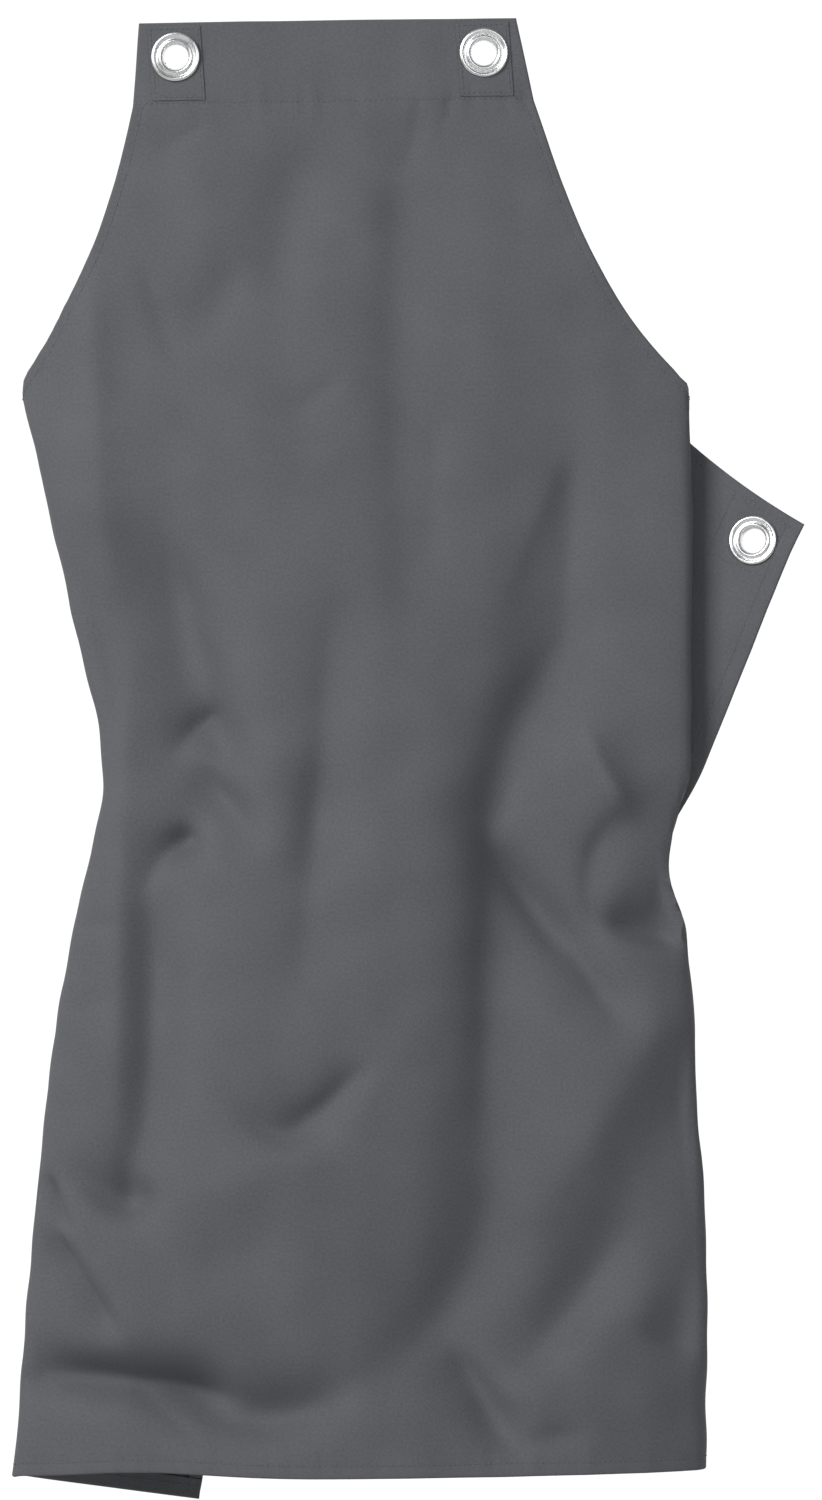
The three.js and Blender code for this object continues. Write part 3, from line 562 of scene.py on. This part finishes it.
# distances from each edge at which the grid has a line of its own
ARMHOLE_LINES = np.array([0, 2.2, 4.1, 5.5, 6.9, 9.0])
SIDE_LINES = np.array([0, 3.0, 6.6, 8.5, 10.4, 13.0])
FOOT_LINES = np.array([0, 3.0, 5.6, 7.5, 9.4, 12.0])
BAND_LINES = BAND_STITCH + np.array([-1.6, 0, 1.6])
LINE_GAP, SIDE_GAP, FOOT_GAP = 2.5, 3, 2  # from the last of these lines to the plain grid


def spaced(start, end, step):
    """Evenly spaced values from start to end, at most a step apart."""
    return np.linspace(start, end, int(np.ceil((end - start) / step)) + 1)


upper_drops = np.concatenate([
    spaced(0, BAND_LINES[0] - LINE_GAP, CELL),
    BAND_LINES,
    spaced(BAND_LINES[-1] + LINE_GAP, corner[1], CELL)[:-1],
])
skirt_shares = spaced(0, 1, CELL / (LENGTH - corner[1]))[1:-1]
face_shares = spaced(-1, 1, CELL / corner[0])
wing_columns = np.concatenate([
    spaced(corner[0], HALF_WIDTH - SIDE_LINES[-1] - SIDE_GAP, WING_CELL)[1:],
    HALF_WIDTH - SIDE_LINES[::-1],
])
corner_row = len(upper_drops)
wing_count = len(wing_columns)
armhole_gap = ARMHOLE_LINES[-1] + LINE_GAP
print(corner_row, "rows above the armhole's corner,", wing_count, "columns in each wing")


# %% Fill the grid
def lower_drops(top, slant):
    """The rows of a column below the armhole's corner, from the wing's top edge to the foot."""
    start, end = top + armhole_gap * slant, LENGTH - FOOT_LINES[-1] - FOOT_GAP
    middle = start + (end - start) * np.concatenate([[0], skirt_shares, [1]])
    return np.concatenate([top + ARMHOLE_LINES * slant, middle, LENGTH - FOOT_LINES[::-1]])


def face_columns(edge, slant):
    """The columns of a row between the armholes, closer together along the edges."""
    lines = edge - ARMHOLE_LINES * slant
    return np.concatenate([-lines, face_shares * (edge - armhole_gap * slant), lines[::-1]])


lower_corner = lower_drops(corner[1], 1 / corner_run[0])
row_count = corner_row + len(lower_corner)
face_count = len(face_columns(*bib_edge(0)))
column_count = face_count + 2 * wing_count
grid = np.full((row_count, column_count, 2), np.nan)
for row, drop in enumerate(np.concatenate([upper_drops, lower_corner])):
    grid[row, wing_count : wing_count + face_count, 0] = face_columns(*bib_edge(drop))
    grid[row, wing_count : wing_count + face_count, 1] = drop
for n, across in enumerate(wing_columns):
    for column, side in ((wing_count + face_count + n, 1), (wing_count - 1 - n, -1)):
        grid[corner_row:, column, 0] = side * across
        grid[corner_row:, column, 1] = lower_drops(*wing_edge(across))
print("grid of", row_count, "rows and", column_count, "columns")

# %% [markdown]
# ## Eyelet holes
#
# Each eyelet sits in a round hole of the cloth: one at either corner of the bib, one at the tip of each
# wing. A Boolean could cut the holes, but leaves long thin faces. So grid points close to a hole's rim are
# moved onto it, and the cells inside are left out.

# %% Place the eyelets
HOLE_RADIUS = 9.0
SNAP_REACH = 1.7  # grid points this close to a hole's rim move onto it
RIM_SLACK = 0.1  # a cell is left out if its middle lies further inside the rim than this
EYELET_DROP, BIB_INSET, WING_INSET = 20.0, 23.0, 21.5
bib_across = bib_edge(EYELET_DROP)[0] - BIB_INSET
wing_across = HALF_WIDTH - WING_INSET
EYELETS = {
    "bib_left": (-bib_across, EYELET_DROP),
    "bib_right": (bib_across, EYELET_DROP),
    "wing_left": (-wing_across, TIP_DROP + EYELET_DROP),
    "wing_right": (wing_across, TIP_DROP + EYELET_DROP),
}


def snap_to_holes(places):
    """Moves places near a hole's rim onto it."""
    for centre in EYELETS.values():
        offset = places - centre
        away = np.linalg.norm(offset, axis=-1)
        close = np.abs(away - HOLE_RADIUS) < SNAP_REACH
        places[close] = centre + offset[close] * (HOLE_RADIUS / away[close])[:, None]
    return places


def in_a_hole(places):
    """Which places lie inside a hole."""
    away = [np.linalg.norm(places - centre, axis=-1) for centre in EYELETS.values()]
    return np.min(away, axis=0) < HOLE_RADIUS - RIM_SLACK


def grid_cells(n):
    """The cells of a table of point numbers, each as its four corners."""
    return np.stack([n[:-1, :-1], n[1:, :-1], n[1:, 1:], n[:-1, 1:]], axis=-1).reshape(-1, 4)


# %% Cut the holes
grid = snap_to_holes(grid)
there = ~np.isnan(grid[..., 0])
number = np.full(there.shape, -1)
number[there] = np.arange(there.sum())
flat = grid[there]
cells = grid_cells(number)
cells = cells[(cells >= 0).all(axis=1)]
cells = cells[~in_a_hole(flat[cells].mean(axis=1))]
print(len(flat), "places and", len(cells), "cells on one face of the panel")

# %% [markdown]
# ## Building meshes
#
# Everything sewn is a thin layer with an outer and an inner face and a rim. A Solidify modifier could give
# the thickness, but each layer here lies at its own height above the panel. One function makes such a layer
# from flat places and cells, and another makes the Blender object, with the flat cut as its UV map in
# metres, so that the weave lies the same way on every piece.

# %% Helpers for the rims
def rim_edges(quads):
    """The edges that only one cell uses, in that cell's direction."""
    edges = np.concatenate([quads[:, [n, (n + 1) % 4]] for n in range(4)])
    used = set(map(tuple, edges))
    return np.array([edge for edge in map(tuple, edges) if edge[::-1] not in used])


def rim_walls(rim, count):
    """The faces that join a rim to the same rim on the inner face, whose points are numbered from count."""
    return np.stack([rim[:, 1], rim[:, 0], rim[:, 0] + count, rim[:, 1] + count], axis=1)


# %% Helpers that make the pieces
def make_object(name, points, faces, material, places=None, sharp=35):
    """A smooth mesh object from points in millimetres, with a UV map from places of the flat cut."""
    mesh = bpy.data.meshes.new(name)
    mesh.from_pydata((np.asarray(points) * MM).tolist(), [], [list(map(int, face)) for face in faces])
    mesh.polygons.foreach_set("use_smooth", np.ones(len(mesh.polygons), bool))
    mesh.set_sharp_from_angle(angle=np.radians(sharp))
    if places is not None:
        corners = np.empty(len(mesh.loops), int)
        mesh.loops.foreach_get("vertex_index", corners)
        uv = mesh.uv_layers.new(name="cut")
        uv.uv.foreach_set("vector", (np.asarray(places)[corners] * (MM, -MM)).ravel())
    mesh.materials.append(material)
    mesh.validate()
    piece = bpy.data.objects.new(name, mesh)
    bpy.context.collection.objects.link(piece)
    return piece


def layer(places, quads, outer, inner):
    """Points, faces and places of a layer of cloth between two heights above the panel's outer face."""
    used, quads = np.unique(quads, return_inverse=True)
    quads, places = quads.reshape(-1, 4), places[used]
    points, out = cloth(*places.T)
    count = len(points)
    faces = np.concatenate([quads, quads[:, ::-1] + count, rim_walls(rim_edges(quads), count)])
    points = np.concatenate([points + out * outer, points + out * inner])
    return points, faces, np.concatenate([places, places])


def finish_piece(piece, slot, *nodes):
    """Hangs a finished piece on the part's one body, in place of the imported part's nodes."""
    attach(piece, "root")
    if nodes:
        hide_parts(*nodes)
    return piece


# %% [markdown]
# ## The panel with its turned edges
#
# All round, the cloth is folded to the inside, so its edge isn't a cut but a narrow roll. A Bevel would
# round the edge of the sheet, but the roll is wider than the sheet is thick. So the grid's rim is drawn in
# by the roll's radius, and half a turn of cloth is added there. It ends where the hem begins.

# %% Draw in the panel's rim
face_first, face_last = wing_count, wing_count + face_count - 1
loop = np.concatenate([
    number[0, face_first:face_last],
    number[:corner_row, face_last],
    number[corner_row, face_last:-1],
    number[corner_row:-1, -1],
    number[-1, :0:-1],
    number[-1:corner_row:-1, 0],
    number[corner_row, :face_first],
    number[corner_row:0:-1, face_first],
])
points, out = cloth(*flat.T)
run = np.roll(points[loop], -1, axis=0) - np.roll(points[loop], 1, axis=0)
off_edge = np.cross(out[loop], run)
off_edge /= np.linalg.norm(off_edge, axis=1, keepdims=True)
points[loop] -= off_edge * TURN
print(len(loop), "points round the rim")

# %% Build the panel
TURN_STEPS = 6
count = len(points)
turn_angles = np.pi * np.arange(1, TURN_STEPS + 1) / TURN_STEPS
rings = [
    points[loop] + off_edge * TURN * np.sin(a) - out[loop] * TURN * (1 - np.cos(a)) for a in turn_angles
]
rings.append(points[loop] - out[loop] * (2 * TURN - CLOTH))
ring_numbers = [loop] + [2 * count + len(loop) * n + np.arange(len(loop)) for n in range(len(rings))]
ring_numbers.append(loop + count)
faces = [cells, cells[:, ::-1] + count]
for a, b in zip(ring_numbers, ring_numbers[1:]):
    faces.append(np.stack([np.roll(a, -1), a, b, np.roll(b, -1)], axis=1)[:, ::-1])
on_loop = set(loop)
hole_rim = np.array([edge for edge in rim_edges(cells) if edge[0] not in on_loop])
faces.append(rim_walls(hole_rim, count))

panel = make_object(
    "panel",
    np.concatenate([points, points - out * CLOTH, *rings]),
    np.concatenate(faces),
    twill,
    np.concatenate([flat, flat, *[flat[loop]] * len(rings)]),
    sharp=60,
)
finish_piece(panel, "cloth", "apron_panel")
print("panel:", len(panel.data.polygons), "faces")

# %% [markdown]
# ## Hems and patches
#
# The turned cloth lies inside against the panel and is sewn down along its free edge. A deep hem makes the
# band at the top, and narrow ones run along the armholes, sides and foot. A square of cloth strengthens each
# eyelet: it lies outside on the bib, and inside on the wings, as in the photograph. They could be copies of
# the panel's own cells, but tables of flat places give each its own straight edges.

# %% Sew a layer onto the panel
LAYER_GAP = 0.3
HEM_OUTER, HEM_INNER = -CLOTH - LAYER_GAP, -2 * CLOTH - LAYER_GAP
PATCH_OUTER, PATCH_INNER = 0.7, 0.1  # pressed flat by the sewing


def sewn_layer(name, table, outer, inner, *nodes):
    """A layer over a table of flat places, with eyelet holes where it meets them."""
    places = snap_to_holes(table.reshape(-1, 2).copy())
    quads = grid_cells(np.arange(len(places)).reshape(table.shape[:2]))
    quads = quads[~in_a_hole(places[quads].mean(axis=1))]
    points, faces, places = layer(places, quads, outer, inner)
    finish_piece(make_object(name, points, faces, twill, places), "cloth", *nodes)


# %% Build the top hem and the foot hem
FOOT_HEM = 12.0
FOOT_HEM_LINES = FOOT_HEM, 8, 4, TURN  # distances from the edge at which the hem's mesh has a line
BAND_COLUMNS, FOOT_COLUMNS = 70, 180

band = []
for drop in spaced(TURN, BAND_DROP, CELL):
    across = np.linspace(-1, 1, BAND_COLUMNS) * (bib_edge(drop)[0] - TURN)
    band.append(np.stack([across, np.full(BAND_COLUMNS, drop)], axis=-1))
sewn_layer("top_hem_layer", np.array(band), HEM_OUTER, HEM_INNER, "top_hem")

foot_columns = np.linspace(-1, 1, FOOT_COLUMNS) * (HALF_WIDTH - TURN)
foot_hem = np.meshgrid(foot_columns, [LENGTH - d for d in FOOT_HEM_LINES])
sewn_layer("foot_hem_layer", np.stack(foot_hem, axis=-1), HEM_OUTER, HEM_INNER, "bottom_hem")
print(len(band), "rows in the top hem")

# %% Build the armhole hems and the side hems
ARMHOLE_HEM, SIDE_HEM = 7.0, 10.0
ARMHOLE_HEM_LINES = ARMHOLE_HEM, 4.5, TURN
SIDE_HEM_LINES = SIDE_HEM, 7, 4, TURN
SIDE_HEM_CELL = 4
HEM_CLEAR = 0.5  # layers that lie side by side keep this far apart
TIP_SKIP = 5  # rows at the wing's tip that the side hem takes over
SIDES = {"left": -1, "right": 1}

armhole_inward = np.stack([-armhole_runs[:, 1], armhole_runs[:, 0]], axis=-1)
side_drops = spaced(TIP_DROP + ARMHOLE_HEM, LENGTH - FOOT_HEM - HEM_CLEAR, SIDE_HEM_CELL)
for name, side in SIDES.items():
    order = slice(None, None, side)  # a mirrored table is read backwards, so that its cells face out
    arm = [armhole[::4] + armhole_inward[::4] * d for d in ARMHOLE_HEM_LINES[order]]
    arm = (np.stack(arm, axis=1) * (side, 1))[:-TIP_SKIP]
    sewn_layer(f"armhole_hem_layer_{name}", arm, HEM_OUTER, HEM_INNER, f"armhole_hem_{name}")
    down = np.meshgrid([side * (HALF_WIDTH - d) for d in SIDE_HEM_LINES[order]], side_drops)
    sewn_layer(f"side_hem_layer_{name}", np.stack(down, -1), HEM_OUTER, HEM_INNER, f"side_hem_{name}")

# %% Build the patches
PATCH_HALF_WIDTH, PATCH_ABOVE, PATCH_BELOW = 15.3, 18.0, 25.0
PATCH_COLUMNS, PATCH_CELL = 15, 2.2
WING_PATCH, WING_PATCH_LINES = 33.0, 14

patch_edge = HALF_WIDTH - SIDE_HEM - HEM_CLEAR
wing_lines = np.linspace(patch_edge - WING_PATCH, patch_edge, WING_PATCH_LINES)
wing_tops = wing_edge(wing_lines)[0] + ARMHOLE_HEM + HEM_CLEAR
wing_drops = np.linspace(wing_tops, wing_tops.mean() + WING_PATCH, WING_PATCH_LINES)
patch_drops = spaced(EYELET_DROP - PATCH_ABOVE, EYELET_DROP + PATCH_BELOW, PATCH_CELL)
for name, side in SIDES.items():
    across = side * bib_across + np.linspace(-1, 1, PATCH_COLUMNS) * PATCH_HALF_WIDTH
    patch = np.stack(np.meshgrid(across, patch_drops), axis=-1)
    sewn_layer(f"bib_patch_{name}", patch, PATCH_OUTER, PATCH_INNER, f"eyelet_patch_bib_{name}")
    across = np.tile(side * wing_lines, (WING_PATCH_LINES, 1))
    patch = np.stack([across, wing_drops], axis=-1)[:, ::side]
    sewn_layer(f"wing_patch_{name}", patch, HEM_OUTER, HEM_INNER, f"eyelet_patch_wing_{name}")

# %% [markdown]
# ## Eyelets and washers
#
# A set eyelet is a turned shape: a flange with a domed outer bead, a groove and an inner lip, then the
# barrel through the cloth, rolled over a flat washer on the inside. Rings and tubes could be put together
# for it, but a profile of radius and height, turned about the direction in which the cloth faces, is one
# closed skin.

# %% Describe the eyelets
EYELET_SIDES = 72
METAL_HEIGHT = 1.0  # of the washer, and of the rolled end of the barrel
# radius, height above the seat
FLANGE = [
    (7.9, 0.0), (13.5, 0.0), (14.0, 0.3), (14.2, 0.75), (14.0, 1.25), (13.5, 1.6), (12.9, 1.7), (12.3, 1.55),
    (11.8, 1.1), (11.3, 0.65), (10.9, 0.5), (10.5, 0.65), (10.0, 1.2), (9.5, 1.6), (8.9, 1.7), (8.3, 1.4),
    (7.8, 0.9), (7.4, 0.3), (7.2, -0.3),
]
# radius, height above the roll's lower side
ROLL = [
    (7.2, 0.7), (7.35, 0.35), (7.8, 0.05), (8.4, 0.0), (9.1, 0.1), (9.5, 0.4), (9.6, 0.75),
    (9.4, 1.0), (7.9, 1.0),
]
# radius, height above the washer's lower side
WASHER = [(8.2, 0.0), (11.3, 0.0), (11.6, 0.25), (11.6, 0.75), (11.3, 1.0), (8.2, 1.0)]


def turned(name, profile, centre, axis, *nodes):
    """A closed profile turned about an axis through a point."""
    axis = Vector(axis)
    aside = axis.orthogonal().normalized()
    turns = np.linspace(0, 2 * np.pi, EYELET_SIDES, endpoint=False)
    spokes = np.outer(np.cos(turns), aside) + np.outer(np.sin(turns), axis.cross(aside))
    radii, heights = np.array(profile).T
    points = centre + spokes[:, None] * radii[:, None] + np.array(axis) * heights[:, None]
    n = np.arange(points.shape[0] * points.shape[1]).reshape(points.shape[:2])
    ahead, up = np.roll(n, -1, axis=0), np.roll(n, -1, axis=1)
    faces = np.stack([n, ahead, np.roll(ahead, -1, axis=1), up], axis=-1).reshape(-1, 4)
    piece = make_object(name, points.reshape(-1, 3), faces, nickel, sharp=50)
    return finish_piece(piece, "eyelet_metal", *nodes)


# %% Turn the eyelets and washers
washer_foot = HEM_INNER - LAYER_GAP - METAL_HEIGHT
roll_foot = washer_foot - LAYER_GAP - METAL_HEIGHT
for name, place in EYELETS.items():
    centre, axis = (v[0] for v in cloth(*np.array([place]).T))
    seat = LAYER_GAP + (PATCH_OUTER if "bib" in name else 0)
    section = [(r, h + seat) for r, h in FLANGE] + [(r, h + roll_foot) for r, h in ROLL]
    turned(f"set_eyelet_{name}", section, centre, axis, f"eyelet_{name}")
    section = [(r, h + washer_foot) for r, h in WASHER]
    turned(f"set_washer_{name}", section, centre, axis, f"washer_{name}")

# %% [markdown]
# ## Stitches
#
# A sewing machine leaves one stitch after another, all alike. A loop in the script could copy them, but they
# are instances: a Geometry Nodes tree runs along each seam line, sets a small rounded stitch at every step,
# turns it along the seam and flat on the cloth, and varies its heading a little. One change to the tree
# changes every stitch. The result is kept as a plain mesh.

# %% Describe the seam lines
SEAM_STEP = 1.5
BAND_END, TIP_END, SEAM_END = 1.5, 4, 3  # how far from the edges the seams stop
PATCH_STITCH = 1.8  # from a bib patch's edges to its seam
WING_STITCH, WING_FOOT_STITCH = 1.5, 3  # the same on a wing patch


def seam(*corners):
    """Flat places along a line of straight runs."""
    corners = np.array(corners, float)
    places = [corners[:1]]
    for a, b in zip(corners, corners[1:]):
        shares = spaced(0, 1, SEAM_STEP / np.linalg.norm(b - a))[1:]
        places.append(shares[:, None] * (b - a) + a)
    return np.concatenate(places)


band_across = bib_edge(BAND_STITCH)[0] - BAND_END
foot_across, foot_drop = HALF_WIDTH - SEAM_END, LENGTH - FOOT_STITCH
outer_seams = [
    seam((-band_across, BAND_STITCH), (band_across, BAND_STITCH)),
    seam((-foot_across, foot_drop), (foot_across, foot_drop)),
]
patch_seams = []
top, foot = EYELET_DROP - PATCH_ABOVE + PATCH_STITCH, EYELET_DROP + PATCH_BELOW - PATCH_STITCH
wing_line = HALF_WIDTH - SIDE_HEM - WING_PATCH + WING_STITCH
wing_top = wing_edge(wing_line)[0] + ARMHOLE_HEM
wing_foot = TIP_DROP + ARMHOLE_HEM + WING_PATCH - WING_FOOT_STITCH
for side in SIDES.values():
    outer_seams.append((armhole + armhole_inward * ARMHOLE_STITCH)[::3] * (side, 1))
    edge, inner = side * (HALF_WIDTH - SIDE_STITCH), side * wing_line
    outer_seams.append(seam((edge, TIP_DROP + TIP_END), (edge, LENGTH - SEAM_END)))
    left, right = (side * bib_across + d * (PATCH_HALF_WIDTH - PATCH_STITCH) for d in (-1, 1))
    patch_seams.append(seam((left, top), (left, foot), (right, foot), (right, top), (left, top)))
    outer_seams.append(seam((inner, wing_top), (inner, wing_foot), (edge, wing_foot)))
print(len(outer_seams), "seams through the cloth and", len(patch_seams), "round the bib patches")

# %% Name the stitching tree's inputs
STITCH_STEP, STITCH_LENGTH, STITCH_WIDTH = 3.0, 2.5, 0.55
STITCH_SWAY = 0.07  # radians by which a stitch may turn off the seam

stitching = bpy.data.node_groups.new("stitching", "GeometryNodeTree")
stitching.interface.new_socket("Geometry", in_out="INPUT", socket_type="NodeSocketGeometry")
sizes = {"Step": STITCH_STEP * MM, "Length": STITCH_LENGTH * MM, "Width": STITCH_WIDTH * MM}
for name, value in sizes.items():
    stitching.interface.new_socket(name, in_out="INPUT", socket_type="NodeSocketFloat").default_value = value
stitching.interface.new_socket("Seed", in_out="INPUT", socket_type="NodeSocketInt")
stitching.interface.new_socket("Thread", in_out="INPUT", socket_type="NodeSocketMaterial")
stitching.interface.new_socket("Geometry", in_out="OUTPUT", socket_type="NodeSocketGeometry")
print([item.name for item in stitching.interface.items_tree])

# %% Build the stitching tree
given = add(stitching, "NodeGroupInput").outputs
line = add(stitching, "GeometryNodeMeshToCurve", {"Mesh": given["Geometry"]})
steps = add(stitching, "GeometryNodeResampleCurve", {
    "Curve": line.outputs[0], "Length": given["Step"],
}, mode="LENGTH")
bead = add(stitching, "GeometryNodeMeshUVSphere", {"Segments": 8, "Rings": 5, "Radius": 0.5})
tangent = add(stitching, "GeometryNodeInputTangent").outputs[0]
facing = add(stitching, "GeometryNodeInputNamedAttribute", {"Name": "out"}, data_type="FLOAT_VECTOR")
along = add(stitching, "FunctionNodeAlignRotationToVector", {"Vector": tangent}, axis="X")
upright = add(stitching, "FunctionNodeAlignRotationToVector", {
    "Rotation": along.outputs[0], "Vector": facing.outputs[0],
}, axis="Z", pivot_axis="X")
sway = add(stitching, "FunctionNodeRandomValue", {
    "Min": (0, 0, -STITCH_SWAY), "Max": (0, 0, STITCH_SWAY), "Seed": given["Seed"],
}, data_type="FLOAT_VECTOR")
swayed = add(stitching, "FunctionNodeRotateRotation", {
    "Rotation": upright.outputs[0], "Rotate By": sway.outputs[0],
}, rotation_space="LOCAL")
size = add(stitching, "ShaderNodeCombineXYZ", {
    "X": given["Length"], "Y": given["Width"], "Z": given["Width"],
})
placed = add(stitching, "GeometryNodeInstanceOnPoints", {
    "Points": steps.outputs[0], "Instance": bead.outputs[0],
    "Rotation": swayed.outputs[0], "Scale": size.outputs[0],
})
real = add(stitching, "GeometryNodeRealizeInstances", {"Geometry": placed.outputs[0]})
dyed = add(stitching, "GeometryNodeSetMaterial", {
    "Geometry": real.outputs[0], "Material": given["Thread"],
})
add(stitching, "NodeGroupOutput", {"Geometry": dyed.outputs[0]})
print(len(stitching.nodes), "nodes in the stitching tree")


# %% Run the tree along lines
def sew(name, lines, seed):
    """Stitches along lines of points, each with the direction that faces out there."""
    points = np.concatenate([p for p, _ in lines])
    mesh = bpy.data.meshes.new(f"{name}_lines")
    starts = np.cumsum([0] + [len(p) for p, _ in lines])
    edges = [(n, n + 1) for a, b in zip(starts, starts[1:]) for n in range(a, b - 1)]
    mesh.from_pydata((points * MM).tolist(), edges, [])
    facing = mesh.attributes.new("out", "FLOAT_VECTOR", "POINT")
    facing.data.foreach_set("vector", np.concatenate([o for _, o in lines]).ravel())
    draft = bpy.data.objects.new(f"{name}_draft", mesh)
    bpy.context.collection.objects.link(draft)
    modifier = draft.modifiers.new("stitching", "NODES")
    modifier.node_group = stitching
    inputs = {i.name: i.identifier for i in stitching.interface.items_tree if i.in_out == "INPUT"}
    modifier[inputs["Seed"]] = seed
    modifier[inputs["Thread"]] = thread
    drawn = draft.evaluated_get(bpy.context.evaluated_depsgraph_get())
    stitched = bpy.data.meshes.new_from_object(drawn)
    bpy.data.objects.remove(draft)
    stitched.name = name
    stitched.polygons.foreach_set("use_smooth", np.ones(len(stitched.polygons), bool))
    piece = bpy.data.objects.new(name, stitched)
    bpy.context.collection.objects.link(piece)
    print(name, len(stitched.polygons), "faces")
    return finish_piece(piece, "cloth")


# %% Sew the seams
STITCH_RISE, STITCH_SINK = 0.12, 0.1  # how far the stitches' middles stand off the face and off the hems


def on_cloth(line, height):
    """A flat line laid on the worn cloth at a height above its outer face, and the directions out."""
    points, out = cloth(*line.T)
    return points + out * height, out


outside = [on_cloth(line, STITCH_RISE) for line in outer_seams]
outside += [on_cloth(line, PATCH_OUTER + STITCH_RISE) for line in patch_seams]
inside = [on_cloth(line, HEM_INNER - STITCH_SINK) for line in outer_seams]
seams = [sew("stitches_outside", outside, 3), sew("stitches_inside", inside, 4)]

# %% [markdown]
# ## The sheet
#
# The apron is one sheet of cloth, cut 720 by 840 mm, hung from its bib eyelets. The corners cut away beside
# the bib make its area smaller than that rectangle.

# %% [markdown]
# ## Studio
#
# The photograph has a pure white background, soft light from the upper left and a weaker light from the
# front, a little to the right. A picture of a real studio could light the scene, but two square softboxes
# are enough for matt cloth. The surroundings are bright behind the apron and dimmer in front, as with a lit
# white wall, but look white from every side. A pale floor lies below the hem.

# %% Light the surroundings
scene = bpy.context.scene
scene.view_settings.view_transform = "Standard"

world = bpy.data.worlds.new("studio")
scene.world = world
world.use_nodes = True
tree = world.node_tree
way = add(tree, "ShaderNodeTexCoord").outputs["Generated"]
depth = add(tree, "ShaderNodeSeparateXYZ", {"Vector": way})
glow = add(tree, "ShaderNodeMapRange", {
    "Value": depth.outputs["Y"], "From Min": -0.2, "From Max": 0.7, "To Min": 0.09, "To Max": 1.05,
}, interpolation_type="SMOOTHSTEP")
seen = add(tree, "ShaderNodeLightPath").outputs["Is Camera Ray"]
strength = add(tree, "ShaderNodeMath", {0: glow.outputs[0], 1: seen}, operation="MAXIMUM")
fill(tree, tree.nodes["Background"], {"Color": (1, 1, 1, 1), "Strength": strength.outputs[0]})
print("the world is called", world.name)

# %% Lay the floor and set up the softboxes
FLOOR_DROP, FLOOR_HALF = 1250, 2200
AIM = Vector((40, 0, -400)) * MM  # the middle of the apron

corners = np.array([(-1, -1, 0), (1, -1, 0), (1, 1, 0), (-1, 1, 0)])
floor_points = corners * FLOOR_HALF - (0, 0, FLOOR_DROP)
# Painted board: pale and matt
pale, tree, shader = new_material("pale painted board")
fill(tree, shader, {"Base Color": linear("c8c8c6"), "Roughness": 0.8})
floor = make_object("floor", floor_points, [(0, 1, 2, 3)], pale)


def softbox(name, place, size, power):
    """A square area light that points at the middle of the apron."""
    light = bpy.data.lights.new(name, "AREA")
    light.size = size * MM
    light.energy = power
    lamp = bpy.data.objects.new(name, light)
    lamp.location = Vector(place) * MM
    lamp.rotation_euler = (AIM - lamp.location).to_track_quat("-Z", "Y").to_euler()
    bpy.context.collection.objects.link(lamp)


softbox("key", (-2150, -2100, 1250), 1800, 98)
softbox("fill", (1000, -2450, 300), 1500, 18)
print("floor", FLOOR_DROP, "mm below the bib eyelets, two softboxes")
